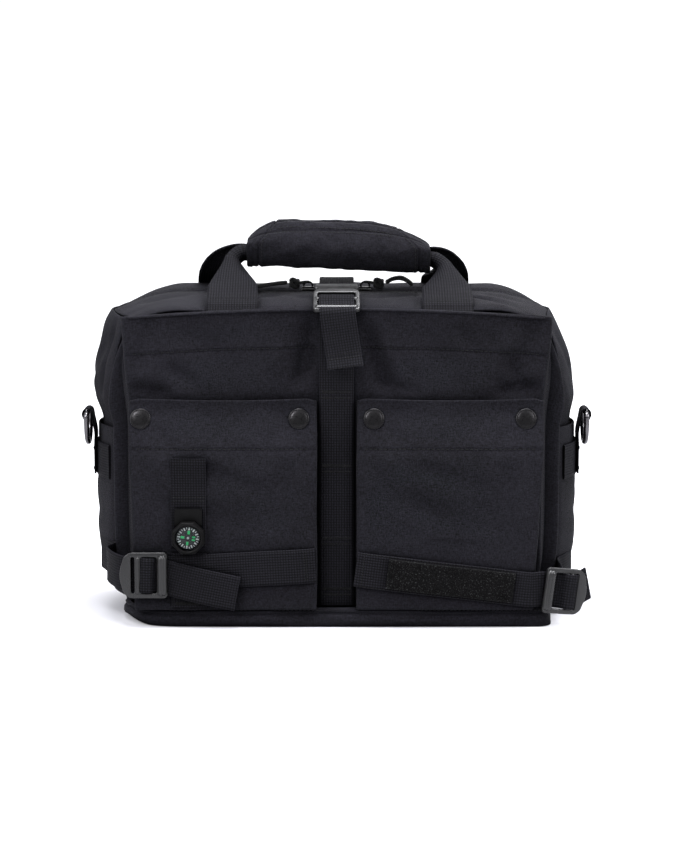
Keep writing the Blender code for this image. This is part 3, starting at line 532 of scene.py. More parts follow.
def web(name, points, across, width, thick, mat=None, body="bag", replaces=(), gap=1.3, widths=None,
        shape=None, nx=14, out=(0, -1, 0), curl=None, squeeze=None, puff=None, ride=True):
    """A webbing strap: points down its middle, its width direction at each, with soft firm edges.
    curl is the angle that the strap's width bends through, towards its inner side, at each point."""
    pts = np.array(points, float)
    ac = np.array(across, float)
    if len(ac) == 1:
        ac = np.repeat(ac, len(pts), 0)
    c, par, along = resample(pts, gap)
    k = np.arange(len(pts))
    a = np.stack([np.interp(par, k, ac[:, i]) for i in range(3)], 1)
    tan = np.gradient(c, axis=0)
    tan /= np.linalg.norm(tan, axis=1, keepdims=True)
    a = a - tan * (a * tan).sum(1, keepdims=True)
    a /= np.linalg.norm(a, axis=1, keepdims=True)
    n = np.cross(tan, a)
    half = max(2, len(c) // 2)
    if (n[:half] @ np.array(out, float)).mean() < 0:
        a, n = -a, -n
    w = np.full(len(c), float(width)) if widths is None else np.interp(par, k, widths)
    u = np.linspace(-1, 1, nx + 1)
    u = np.sign(u) * (1 - (1 - np.abs(u)) ** 1.35)
    prof = []
    for x in u:
        e = max(0.0, (abs(x) - 0.90) / 0.10)
        prof.append((x * (1 - 0.012 * e), 0.5 * (1 - 0.55 * e ** 2) + 0.05 * bump1(abs(x) - 0.86, 0.06), e))
    prof = prof + [(1.0, 0.0, 1.0)] + [(x, -h, e) for x, h, e in prof[::-1]] + [(-1.0, 0.0, 1.0)]
    prof = np.array(prof)
    s = prof[None, :, 0] * w[:, None] / 2
    A, N = a[:, None], n[:, None]
    if curl is None:
        P = c[:, None] + A * s[..., None] + N * (prof[None, :, 1:2] * thick)
        loc_n = np.repeat(N, prof.shape[0], 1)
    else:
        kap = (np.interp(par, k, curl) / w)[:, None] + 1e-6
        sq, pf = np.interp(par, k, squeeze)[:, None, None], np.interp(par, k, puff)[:, None, None]
        X, D = np.sin(kap * s) / kap, (1 - np.cos(kap * s)) / kap
        loc_n = N * np.cos(kap * s)[..., None] + A * np.sin(kap * s)[..., None]
        P = c[:, None] + A * X[..., None] * sq - N * D[..., None] * pf + loc_n * (prof[None, :, 1:2] * thick)
    if shape is not None:
        P = P + loc_n * shape(along[:, None], s, along[-1])[..., None]
    nu, nv = P.shape[:2]
    ids = np.arange(nu * nv).reshape(nu, nv)
    nxt = np.roll(ids, -1, 1)
    q = np.stack([ids[:-1], ids[1:], nxt[1:], nxt[:-1]], -1).reshape(-1, 4)
    faces = q.tolist() + [ids[0].tolist(), ids[-1][::-1].tolist()]
    cl = np.stack([s * MM, (along[:, None] + 0 * s) * MM, (prof[None, :, 2] + 0 * s) * MM], 2).reshape(-1, 3)
    ob = make_mesh(name, P.reshape(-1, 3), faces, mat or M_WEB, cl, sharp=60)
    SHEETS[name] = (P[:, :nx + 1], loc_n[:, :nx + 1])
    return finish_piece(ob, body, replaces)


STITCH = {}        # body -> list of (start, end, normal, radius)


def sew(path, normals, body="bag", pitch=3.4, length=2.5, r=0.26, lift=0.10):
    """Stitches along a path of surface points (mm)."""
    path, normals = np.array(path, float), np.array(normals, float)
    along = np.concatenate([[0], np.cumsum(np.linalg.norm(np.diff(path, axis=0), axis=1))])
    n = int(along[-1] // pitch)
    if n < 1:
        return
    st = np.arange(n) * pitch + (along[-1] - n * pitch) / 2
    f = lambda at, v: np.stack([np.interp(at, along, v[:, k]) for k in range(3)], 1)
    a, b, m = f(st, path), f(st + length, path), f(st + length / 2, normals)
    STITCH.setdefault(body, []).append((a + m * lift, b + m * lift, m, np.full(len(a), r)))


def sheet_path(name, uv, count=None):
    """Points and normals of a sheet along a polyline in its own 0..1 coordinates."""
    p, n = SHEETS[name]
    uv = np.array(uv, float)
    seg = np.linalg.norm(np.diff(uv, axis=0), axis=1)
    al = np.concatenate([[0], np.cumsum(seg)])
    k = count or 220
    at = np.linspace(0, al[-1], k)
    u = np.interp(at, al, uv[:, 0]) * (p.shape[0] - 1)
    v = np.interp(at, al, uv[:, 1]) * (p.shape[1] - 1)
    i, j = np.minimum(u.astype(int), p.shape[0] - 2), np.minimum(v.astype(int), p.shape[1] - 2)
    fu, fv = (u - i)[:, None], (v - j)[:, None]
    g = lambda arr: (arr[i, j] * (1 - fu) * (1 - fv) + arr[i + 1, j] * fu * (1 - fv)
                     + arr[i, j + 1] * (1 - fu) * fv + arr[i + 1, j + 1] * fu * fv)
    return g(p), g(n)


def bartack(centre, across, along, normal, width, height=2.4, body="bag", r=0.24, lift=0.15):
    """A dense row of zigzag thread across a strap."""
    c, x, y, n = (np.array(v, float) for v in (centre, across, along, normal))
    x, y, n = x / np.linalg.norm(x), y / np.linalg.norm(y), n / np.linalg.norm(n)
    k = int(width / 0.85)
    xs = np.linspace(-width / 2, width / 2, k)
    a = c + x * xs[:, None] + y * (height / 2) + n * lift
    b = c + x * (xs[:, None] + 0.42) - y * (height / 2) + n * lift
    STITCH.setdefault(body, []).append((a, b, np.repeat(n[None], k, 0), np.full(k, r)))


def build_stitches():
    for body, rows in STITCH.items():
        a = np.concatenate([r[0] for r in rows])
        b = np.concatenate([r[1] for r in rows])
        m = np.concatenate([r[2] for r in rows])
        rad = np.concatenate([r[3] for r in rows])[:, None]
        d = b - a
        d /= np.maximum(np.linalg.norm(d, axis=1, keepdims=True), 1e-9)
        side = np.cross(d, m)
        side /= np.maximum(np.linalg.norm(side, axis=1, keepdims=True), 1e-9)
        up = np.cross(side, d)
        L = np.linalg.norm(b - a, axis=1)[:, None]
        vs = []
        ring = [(1, 0), (0, 1), (-1, 0), (0, -1)]
        for f, k in ((0.0, 0.35), (0.22, 1.0), (0.78, 1.0), (1.0, 0.35)):
            for cx, cy in ring:
                sink = -0.35 if f in (0.0, 1.0) else 0.0
                vs.append(a + d * L * f + side * rad * k * cx + up * rad * (k * cy * 0.8 + sink))
        V = np.stack(vs, 1)
        cnt = len(V)
        base = (np.arange(cnt) * 16)[:, None]
        quads = []
        for k in range(3):
            for i in range(4):
                j = (i + 1) % 4
                quads.append([k * 4 + i, k * 4 + j, (k + 1) * 4 + j, (k + 1) * 4 + i])
        quads.append([3, 2, 1, 0])
        quads.append([12, 13, 14, 15])
        F = np.concatenate([base + np.array(q)[None] for q in quads]).tolist()
        ob = make_mesh("stitches_" + body, V.reshape(-1, 3), F, M_THREAD)
        finish_piece(ob, body, ())


def tube(name, pts, r, mat, gap=0.8, seg=14, body="bag", replaces=(), closed=False, squash=None,
         ends=True, twist=0.0):
    """A round cord or wire along points (mm)."""
    if closed:
        c = np.array(pts, float)
        tan = np.roll(c, -1, 0) - np.roll(c, 1, 0)
        along = np.arange(len(c)) * gap
    else:
        c, _, along = resample(pts, gap)
        tan = np.gradient(c, axis=0)
    tan /= np.linalg.norm(tan, axis=1, keepdims=True)
    ref = np.cross(tan[0], (0.13, 0.31, 0.94))
    ref /= np.linalg.norm(ref)
    fr = []
    for d in tan:
        ref = ref - d * (ref @ d)
        ref /= np.linalg.norm(ref)
        fr.append(ref.copy())
    A = np.array(fr)
    B = np.cross(tan, A)
    if closed:
        # spread the frame's mismatch over the loop
        gapang = math.atan2(A[0] @ B[-1], A[0] @ A[-1])
        th = np.linspace(0, 1, len(c)) * gapang
        A, B = (A * np.cos(th)[:, None] + B * np.sin(th)[:, None], B * np.cos(th)[:, None] - A * np.sin(th)[:, None])
    rad = np.full(len(c), float(r))
    if ends and not closed:
        e = np.minimum(along, along[-1] - along)
        rad = r * np.sqrt(np.clip(1 - (1 - np.clip(e / r, 0.0, 1)) ** 2, 0.06, 1))
    ang = np.linspace(0, 2 * pi, seg, endpoint=False)[None] + twist * along[:, None]
    P = c[:, None] + A[:, None] * (np.cos(ang) * rad[:, None])[..., None] + B[:, None] * (np.sin(ang) * rad[:, None])[..., None]
    nu = len(c)
    ids = np.arange(nu * seg).reshape(nu, seg)
    nxt = np.roll(ids, -1, 1)
    if closed:
        ids2, nxt2 = np.roll(ids, -1, 0), np.roll(nxt, -1, 0)
        q = np.stack([ids, nxt, nxt2, ids2], -1).reshape(-1, 4).tolist()
    else:
        q = np.stack([ids[:-1], nxt[:-1], nxt[1:], ids[1:]], -1).reshape(-1, 4).tolist()
        q += [ids[0][::-1].tolist(), ids[-1].tolist()]
    cl = np.stack([np.linspace(0, 2 * pi * r, seg, endpoint=False)[None] + 0 * ang, along[:, None] + 0 * ang, 0 * ang], 2)
    ob = make_mesh(name, P.reshape(-1, 3), q, mat, cl.reshape(-1, 3) * MM)
    return finish_piece(ob, body, replaces)


def cord_material():
    t = Tree("braid_black")
    vec, s, u, _ = t.cloth()
    p1, p2 = 2 * pi * 0.0015 / 5, 0.0019
    a = t.math("SINE", t.math("MULTIPLY", t.math("ADD", t.math("DIVIDE", s, p1), t.math("DIVIDE", u, p2)), 2 * pi))
    b = t.math("SINE", t.math("MULTIPLY", t.math("SUBTRACT", t.math("DIVIDE", s, p1), t.math("DIVIDE", u, p2)), 2 * pi))
    h = t.math("MAXIMUM", a, b)
    fine = t.noise(vec, 2400.0, 2.0, 0.6)
    colour = t.mix(t.range(t.math("ADD", h, fine), -0.6, 1.6, 0.0, 1.0), grey(0.0012), grey(0.011))
    t.surface(Base_Color=colour, Roughness=0.6, Specular_IOR_Level=0.15, Sheen_Weight=0.02,
              Normal=t.bump(h, 0.8, 0.00022))
    return t.m


def pile_material():
    t = Tree("pile_black")
    n = t.noise(t.where(), 1500.0, 4.0, 0.75)
    specks = t.range(t.noise(t.where(), 950.0, 2.0, 0.6), 0.58, 0.70, 0.0, 1.0)
    colour = t.mix(n, grey(0.0006), grey(0.005))
    colour = t.mix(t.math("MULTIPLY", specks, 0.30), colour, grey(0.14))
    t.surface(Base_Color=colour, Roughness=0.95, Specular_IOR_Level=0.1, Normal=t.bump(n, 0.9, 0.0005))
    return t.m


def print_material(name, col):
    t = Tree(name)
    n = t.noise(t.where(), 2200.0, 2.0, 0.5)
    t.surface(Base_Color=t.mix(n, (col[0] * 0.9, col[1] * 0.9, col[2] * 0.9, 1), (*col, 1)), Roughness=0.5,
              Normal=t.bump(n, 0.1, 0.00003))
    return t.m


def lens_material():
    t = Tree("compass_lens_clear")
    n = t.noise(t.where(), 300.0, 2.0, 0.5)
    gl = t.node("BsdfGlossy", Roughness=t.range(n, 0.3, 0.7, 0.03, 0.07))
    gl.inputs["Color"].default_value = (0.16, 0.16, 0.17, 1)
    tr = t.node("BsdfTransparent", Color=(0.93, 0.95, 0.95, 1))
    fr = t.node("Fresnel", IOR=1.45)
    mx = t.node("MixShader", i0=fr.outputs[0], i1=tr.outputs[0], i2=gl.outputs[0])
    t.t.links.new(mx.outputs[0], t.out.inputs["Surface"])
    return t.m


M_CORD = cord_material()
M_PILE = pile_material()
M_LENS = lens_material()
M_DIAL = print_material("dial_black", (0.004, 0.004, 0.0045))
M_TICK = print_material("dial_white", (0.72, 0.74, 0.72))
M_GREEN = print_material("dial_green", (0.008, 0.62, 0.16))
M_CASE = plastic_material("compass_case_black", 0.0010, 0.50, 0.30, 0.09)

# ------------------------------------------------------------------ zip pulls: cords first
ZIP = {}
ROUTES = {
    "left": [(-36.9, 12.6, 240.2), (-43, 9.4, 239.8), (-51, 8.6, 238.8), (-58, 9.6, 237.6), (-60.8, 12.8, 237.2),
             (-58, 16.2, 237.4), (-51, 17.0, 238.2), (-43, 16.4, 239.4), (-36.9, 15.2, 240.0)],
    "right": [(36.9, 12.4, 240.4), (41, 8.6, 243.0), (47, 5.6, 243.8), (52.6, 5.4, 241.6), (55.0, 9.6, 239.0),
              (53.5, 15.6, 240.6), (48, 18.6, 243.4), (42, 17.6, 242.8), (36.9, 15.6, 240.6)]}
for side, s in (("left", -1), ("right", 1)):
    kc = np.array((s * 31.0, 13.5, 239.6))
    th = np.linspace(0, 2 * pi, 150, endpoint=False)
    kx = (2 + 0.85 * np.cos(3 * th)) * np.cos(2 * th)
    ky = (2 + 0.85 * np.cos(3 * th)) * np.sin(2 * th)
    kz = 0.95 * np.sin(3 * th)
    kp = np.stack([kz * 2.6, kx * 1.12, ky * 1.05], 1) + kc
    knot = tube("knot_" + side, kp, 1.55, M_CORD, gap=0.5, closed=True, body="zip_" + side,
                replaces=("zip_knot_" + side,))
    route, _, al = resample(ROUTES[side], 0.7)
    c = tube("cord_" + side, ROUTES[side], 1.5, M_CORD, gap=0.7, body=None,
             replaces=("zip_cord_" + side,), ends=False)
    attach(c, "zip_" + side)
    # the short bight from the knot through the slider's bail
    tube("pull_" + side, [kc + (-s * 3.0, 1.2, 0.2), (s * 24.5, 15.2, 240.4), (s * 21.0, 14.6, 240.6),
                          (s * 20.4, 14.0, 240.5), (s * 21.0, 13.4, 240.6), (s * 24.5, 12.8, 240.4),
                          kc + (-s * 3.0, -1.2, 0.2)], 1.0, M_CORD, body="zip_" + side)

# ------------------------------------------------------------------ shell
Z0 = 12.9
N_BODY, N_SLIP, N_POCKET, N_TOP, N_SIDE = Lattice(3), Lattice(11), Lattice(23), Lattice(31), Lattice(47)


def axes(nu, nv):
    return np.meshgrid(np.linspace(0, 1, nu), np.linspace(0, 1, nv), indexing="ij")


# base tray: a soft band that rounds under, with a piped seam where the walls join it
def tray():
    per = []
    yb, yf = BACK_Y - 0.5, -69.6
    corners = [(-151.0, yf, 40.0), (154.0, yf, 12.0), (164.0, yb, 26.0), (-164.0, yb, 26.0)]
    c2 = [np.array(c[:2], float) for c in corners]
    for i in range(4):
        p0, p1, p2, r = c2[i - 1], c2[i], c2[(i + 1) % 4], corners[i][2]
        rn = corners[(i + 1) % 4][2]
        a, b = (p0 - p1) / np.linalg.norm(p0 - p1), (p2 - p1) / np.linalg.norm(p2 - p1)
        for t in np.linspace(0, 1, 18):
            per.append((1 - t) ** 2 * (p1 + a * r) + 2 * t * (1 - t) * p1 + t * t * (p1 + b * r))
        L = np.linalg.norm(p2 - p1) - r - rn
        for t in np.linspace(0, 1, int(L / 3))[1:-1]:
            per.append(p1 + b * (r + L * t))
    per = np.array(per)
    tan = np.roll(per, -1, 0) - np.roll(per, 1, 0)
    tan /= np.linalg.norm(tan, axis=1, keepdims=True)
    nrm = np.stack([tan[:, 1], -tan[:, 0]], 1)
    al = np.cumsum(np.linalg.norm(np.roll(per, -1, 0) - per, axis=1))
    prof = np.array([(14.0, 2.2), (14.0, 0.1), (4.6, 0.0), (1.6, 0.05), (0.6, 0.35), (0.1, 1.4), (0.2, 3.6), (0.6, 6.0),
                     (1.4, 7.9), (2.2, 8.7), (2.5, 9.3), (2.2, 9.8), (1.8, 10.5), (2.0, 11.4), (2.8, 12.2), (3.6, 13.2),
                     (3.2, 12.6), (3.6, 9.0), (4.6, 5.0)])
    side = step(130, 158, np.abs(per[:, 0])) * step(-40, 0, per[:, 1])
    wob = N_BODY.fbm(al, 0 * al, 38, 3)
    P = np.zeros((len(per), len(prof), 3))
    for j, (inset, z) in enumerate(prof):
        k = 1.5 * wob * min(1, z / 4.0) * (1 if j < 15 else 0.3)
        under = 4.0 * side * (1 - min(1.0, z / 9.0)) ** 1.5
        P[:, j, :2] = per - nrm * (inset - k + under)[:, None]
        corner = step(132, 160, -per[:, 0]) * step(-20, -50, per[:, 1] * 1.0)
        P[:, j, 2] = z + 5.5 * corner * (1 - min(1.0, z / 14.0)) + (0.5 * N_BODY.fbm(al + 900, 0 * al, 52, 2) if 8 <= j <= 15 else 0)
    nu, nv = P.shape[:2]
    ids = np.arange(nu * nv).reshape(nu, nv)
    i2, j2 = np.roll(ids, -1, 0), np.roll(ids, -1, 1)
    ij = np.roll(i2, -1, 1)
    q = np.stack([ids, i2, ij, j2], -1).reshape(-1, 4).tolist()
    cl = np.stack([np.repeat(al[:, None], nv, 1), np.repeat(np.arange(nv)[None] * 1.6, nu, 0), np.zeros((nu, nv))], 2)
    ob = make_mesh("base_tray", P.reshape(-1, 3), q, M_FAB, cl.reshape(-1, 3) * MM, sharp=60)
    finish_piece(ob, "bag", ("base_panel",))
    floor = per[::2] - nrm[::2] * 13.0
    n = len(floor)
    V = np.concatenate([np.c_[floor, np.full(n, 0.15)], np.c_[floor, np.full(n, 2.1)]])
    F = [list(range(n))[::-1], list(range(n, 2 * n))] + [[i, (i + 1) % n, n + (i + 1) % n, n + i] for i in range(n)]
    cl = np.c_[V[:, :2], 0 * V[:, :1]] * MM
    finish_piece(make_mesh("base_floor", V, F, M_FAB, cl, smooth=False), "bag", ())
    sel = (per[:, 1] < -20)
    pts = np.c_[per[sel] - nrm[sel] * 2.3, np.full(sel.sum(), 11.9)]
    pts = pts[np.argsort(pts[:, 0])]
    sew(pts, np.repeat([[0, -1.0, 0]], len(pts), 0), pitch=3.0, length=2.1)
    return P


TRAY = tray()

U, V = axes(120, 90)
z = Z0 + V * 205
x = (1 - 2 * U) * (gusset_x(BACK_Y - 2, z) - 0.3)
zz = Z0 + V * (top_z((1 - 2 * U) * 142, BACK_Y) - 3.0 - Z0)
y = BACK_Y + 1.2 * N_BODY.fbm(x, zz, 80, 3) * (1 - bump1(x, 16)) - 0.6
sheet("back", np.stack([x, y, zz], 2), 2.6, M_FAB, replaces=("back_panel",))
x = -x
zz = Z0 + V * (top_z((2 * U - 1) * 146, INNER_FRONT_Y) - 3.0 - Z0)
sheet("inner_front", np.stack([x, INNER_FRONT_Y + 0.5 * N_BODY.fbm(x, zz, 60, 2), zz], 2), 2.4, M_FAB,
      replaces=("inner_front_panel",))

def left_swell(y, z):
    """The left shoulder stands fuller than the right."""
    u = np.clip((y + 36.8) / 95.4, 0, 1)
    return (4.6 * step(150, 186, z) + 4.2 * step(194, 219, z)) * np.sin(pi * u) ** 0.6


for side, s in (("left", -1), ("right", 1)):
    U, V = axes(60, 110)
    Ue = U if s > 0 else 1 - U
    y = (INNER_FRONT_Y + 3.2) + (BACK_Y - 3.4 - INNER_FRONT_Y - 3.2) * Ue
    z = Z0 + V * (SHOULDER_Z - drop(y) - Z0)
    x = gusset_x(y, z)
    upper = step(138, 158, z)
    x = x + upper * (0.9 * N_SIDE.fbm(y + 40 * s, z, 34, 3) - (0.6 if s > 0 else -0.6))
    if s < 0:
        x = x + left_swell(y, z)
        x = x + crease(y, z, (-26, 216), (-20, 158), 3.4, -3.2) + crease(y, z, (-8, 214), (-6, 150), 5.0, 1.8)
    x = x + crease(y, z, (-30, 212), (4, 168), 7.0, -2.6) * upper + crease(y, z, (40, 205), (14, 158), 8.0, -2.2) * upper
    x = x + crease(y, z, (-34, 178), (-16, 150), 5.0, 1.4) * upper
    # its top edge rises to the top sheet's end at the rear corner
    end_z = top_z(gusset_x(y, SHOULDER_Z - drop(y)) - 2.6, y)
    z = z + np.clip(end_z - (SHOULDER_Z - drop(y)) + 0.4, 0, 4.6) * step(26, 46, y) * step(0.94, 1, V)
    sheet("gusset_cloth_" + side, np.stack([s * x, y, z], 2), 1.9, M_FAB, replaces=("gusset_" + side,))


def rear_bulge(x, v):
    """The full top behind the zip: it stands a little proud of the front half."""
    return (5.4 * np.sin(pi * np.clip(v, 0, 1)) ** 0.7 * (1 - np.clip(np.abs(x) / 152.0, 0, 1) ** 4)
            + 1.6 * bump1(np.abs(x) - 120, 24) * bump1(v - 0.45, 0.4))


def top_sheet(name, y0, y1, node, front):
    U, V = axes(190, 26)
    y = y0 + (y1 - y0) * V
    x = (2 * U - 1) * (gusset_x(y, SHOULDER_Z - drop(y)) - 2.6)
    h = 0.55 * N_TOP.fbm(x, y, 30, 3)
    edge = step(0, 0.10, V) * step(0, 0.06, 1 - V)
    h = h * edge
    for px, py, dx, dy, w, d in ((-62, -18, 26, 8, 5, -1.6), (-18, -24, 14, -4, 5, -1.2), (40, -16, 22, 6, 5, -1.5),
                                 (88, -20, 10, 14, 5, -1.8), (118, -12, 14, -10, 6, -2.0), (106, -22, 24, -13, 3.6, -3.4), (-120, -14, 20, 8, 6, -2.0),
                                 (120, 8, 14, -4, 5, -1.5)):
        h = h + crease(x, y, (px - dx, py - dy), (px + dx, py + dy), w, d) * edge
    if front:
        for sx in (-95.0, -56.5, 57.5, 95.5):
            h = h - 0.8 * bump1(x - sx, 1.1) * edge
        for sx in (-75.0, 76.0):
            h = h + 0.5 * step(20.5, 18.5, np.abs(x - sx) * -1 + 39)
    # the cloth turns down into the zip's seam
    near = (1 - step(0, 0.14, 1 - V)) if front else (1 - step(0, 0.14, V))
    h = h - 0.5 * near
    zt = top_z(x, y) + h - 0.2
    if front:
        # its front edge bows forward and turns down behind the pocket's hem
        k = 1 - step(0, 0.42, V)
        bow = 14.4 * (1 - 0.07 * (np.abs(x) / 150.0) ** 4) + 0.8 * N_TOP.at(x, 0 * x, 34)
        y = y - bow * k * (1 - 0.12 * k)
        zt = zt - (2.2 + 0.9 * N_TOP.at(x + 60, 0 * x, 40)) * k ** 1.5 - 1.6 * bump1(V, 0.05)
    else:
        zt = zt + rear_bulge(x, V)
    y_in = np.clip(y, INNER_FRONT_Y, BACK_Y)
    p = np.stack([x - np.where(x < 0, left_swell(y_in, 221.0) * (np.abs(x) / 152.0) ** 4, 0), y, zt], 2)
    sheet(name, p, 1.8, M_FAB, replaces=(node,))
    v = 0.93 if front else 0.07
    q, n = sheet_path(name, [(0.01, v), (0.99, v)], 400)
    sew(q, n)


top_sheet("top_front", INNER_FRONT_Y + 0.2, 7.2, "top_panel_front", True)
top_sheet("top_rear", 20.8, BACK_Y - 0.4, "top_panel_rear", False)
for name, y0, y1, node in (("tape_front", 7.0, 13.2, "zipper_tape_front"), ("tape_rear", 14.8, 21.0, "zipper_tape_rear")):
    U, V = axes(190, 7)
    y = y0 + (y1 - y0) * V
    x = (2 * U - 1) * (gusset_x(y, SHOULDER_Z - drop(y)) - 3.2)
    mid = (y - y0) / (y1 - y0) if y0 < 10 else 1 - (y - y0) / (y1 - y0)
    p = np.stack([x - np.where(x < 0, left_swell(y, 221.0) * (np.abs(x) / 152.0) ** 4, 0), y,
                  top_z(x, y) - 0.9 + 0.5 * mid + 0.15 * N_TOP.fbm(x, y, 22, 2)], 2)
    sheet(name, p, 0.9, M_TAPE, replaces=(node,))


def teeth():
    xs = np.arange(-150.0, 150.1, 1.25)
    base = np.array([(sx, sy, sz) for sx in (-1, 1) for sy in (-1, 1) for sz in (-1, 1)], float)
    quads = [[0, 1, 3, 2], [4, 6, 7, 5], [0, 4, 5, 1], [2, 3, 7, 6], [0, 2, 6, 4], [1, 5, 7, 3]]
    Vs, Fs = [], []
    for i, x in enumerate(xs):
        s = 1 if i % 2 else -1
        z = float(top_z(x, ZIP_Y)) - 0.5
        c = np.array((x, ZIP_Y + s * 0.62, z))
        k = len(Vs) * 8
        Vs.append(base * (0.45, 1.15, 0.62) + c)
        Fs += [[k + a for a in q] for q in quads]
    ob = make_mesh("zip_coil", np.concatenate(Vs), Fs, M_TAPE, np.concatenate(Vs) * MM, smooth=False)
    bv = ob.modifiers.new("round", "BEVEL")
    bv.width = 0.00022
    bv.segments = 2
    finish_piece(ob, "bag", ())


teeth()

# ------------------------------------------------------------------ slip pocket across the front
def plan_fold(A, C, E, r, na, nc):
    d1, d2 = A - C, E - C
    d1 = d1 / np.linalg.norm(d1, axis=-1, keepdims=True)
    d2 = d2 / np.linalg.norm(d2, axis=-1, keepdims=True)
    p0, p2 = C + d1 * r, C + d2 * r
    rows = [A + (p0 - A) * t for t in np.linspace(0, 1, na, endpoint=False)]
    rows += [(1 - t) ** 2 * p0 + 2 * t * (1 - t) * C + t * t * p2 for t in np.linspace(0, 1, nc)]
    return np.stack(rows)


def slip_shape(x, z):
    """Depth added to the slip pocket's face: its soft dents and folds, its hem and its seam."""
    clear = 1 - bump1(x, 15.0) * 0.85
    low = step(158, 172, z)
    d = (1.25 * N_SLIP.fbm(x, z, 52, 3) + 0.5 * N_SLIP.fbm(x + 50, z, 17, 2)) * clear * (0.35 + 0.65 * low)
    d = d + 0.5 * (1 - low)
    d = d + crease(x, z, (-17, 224), (-23, 176), 7.5, 4.6)
    d = d + crease(x, z, (19, 218), (38, 164), 6.0, 4.2) + crease(x, z, (30, 206), (52, 168), 7, -1.5)
    d = d + crease(x, z, (-150, 172), (-118, 167), 5.0, 3.2) + crease(x, z, (112, 167), (147, 172), 5.5, 4.2)
    d = d + crease(x, z, (-132, 222), (-146, 176), 7.0, 2.2) + crease(x, z, (-112, 208), (-58, 172), 9, -1.1)
    d = d + crease(x, z, (142, 226), (128, 180), 7.0, 2.4) + crease(x, z, (104, 212), (70, 172), 9, -1.2)
    d = d + crease(x, z, (-96, 198), (-40, 214), 10, 0.9) + crease(x, z, (60, 214), (118, 202), 9, 1.0)
    zs = 199.5 - 5.6 * (np.abs(x) / 153.0) ** 2
    d = d - 0.75 * step(-1.0, 0.6, z - zs) + 0.55 * bump1(z - zs + 0.2, 0.9)
    d = d + crease(x, z, (-120, 222), (-66, 176), 11, 2.4) + crease(x, z, (-60, 222), (-34, 180), 9, -1.5)
    d = d + crease(x, z, (44, 222), (92, 174), 11, 2.2) + crease(x, z, (132, 216), (104, 176), 8, -1.4)
    d = d - 0.7 * bump1(z - slip_top(x), 2.2)
    d = d + crease(x, z, (-16, 200), (-30, 172), 5.0, 2.6) + crease(x, z, (-36, 206), (-48, 180), 6.0, -1.2)
    d = d + crease(x, z, (120, 196), (134, 168), 5.0, 2.4) + crease(x, z, (24, 176), (60, 168), 4.5, 1.8)
    d = d + crease(x, z, (-128, 190), (-96, 170), 6.0, 1.6) + crease(x, z, (84, 214), (100, 196), 6.0, 1.3)
    return np.clip(d, -1.6, 5.6)


nv = 150
Vr = np.linspace(0, 1, nv)
Vr = np.where(Vr < 0.55, Vr * 1.20, 0.66 + (Vr - 0.55) * (0.34 / 0.45))
z_e = Z0 + Vr * (slip_top(153.0) - Z0)
hx = slip_half(z_e)
rows = []
for s in (-1, 1):
    pin = (4.2 if s < 0 else 2.4) * step(168, 190, z_e) * (1 - 0.6 * step(205, 222, z_e))
    A = np.stack([s * (side_x(INNER_FRONT_Y, z_e) - 3.4 - 0.4), 0 * z_e + INNER_FRONT_Y - 0.7], 1)
    C = np.stack([s * (hx + 0.4 + 0.5 * N_SLIP.fbm(z_e, s * 50 + 0 * z_e, 40, 2)), 0 * z_e + SLIP_Y + 0.3], 1)
    E = np.stack([s * (hx - 6.0), 0 * z_e + SLIP_Y], 1)
    f = plan_fold(A, C, E, 2.6, 10, 6)
    k = np.linspace(0, 1, 10)[:, None]
    f[:10, :, 0] -= s * pin[None] * np.sin(pi * k) ** 1.0
    rows.append(np.concatenate([f, np.repeat(z_e[None, :, None], f.shape[0], 0)], 2))
nf = 210
t = np.linspace(-1, 1, nf + 2)[1:-1]
X = t[:, None] * (hx - 5.2)[None]
Zf = Z0 + Vr[None] * (slip_top(X) - Z0)
face = np.stack([X, np.full_like(X, SLIP_Y), Zf], 2)
P = np.concatenate([rows[0], face, rows[1][::-1]], 0)
fade = np.concatenate([np.zeros(13), np.linspace(0.2, 0.9, 3), np.ones(nf), np.linspace(0.9, 0.2, 3), np.zeros(13)])
P[..., 1] += slip_shape(P[..., 0], P[..., 2]) * fade[:, None]
SLIP = P
sheet("slip_face", P, 1.5, M_FAB, replaces=("slip_pocket_panel",))
for off in (0.0,):
    zs_pts = []
    xs = np.linspace(-145, 145, 500)
    zs = 199.5 - 5.6 * (np.abs(xs) / 153.0) ** 2 + off
    ys = SLIP_Y + slip_shape(xs, zs)
    zs_pts = np.stack([xs, ys, zs], 1)
    sew(zs_pts, np.repeat([[0, -1.0, 0]], len(xs), 0), r=0.30, lift=0.16)
# the turned hem along the top: a firm double edge
U, V = axes(230, 12)
xh = (2 * U - 1) * 147.0
ang = -0.15 * pi + V * 1.25 * pi
ztop = slip_top(xh) + 0.2
yh = SLIP_Y + slip_shape(xh, ztop) + 0.4
p = np.stack([xh, yh - 1.25 * np.cos(ang), ztop - 1.0 + 1.25 * np.sin(ang) + 0.25 * N_SLIP.at(xh, 0 * xh, 26)], 2)
sheet("slip_binding", p, 0.5, M_FAB, flip=False)

# ------------------------------------------------------------------ patch pockets
SNAP_X, SNAP_Z = (-139.0, -26.7, 26.5, 134.3), 149.5


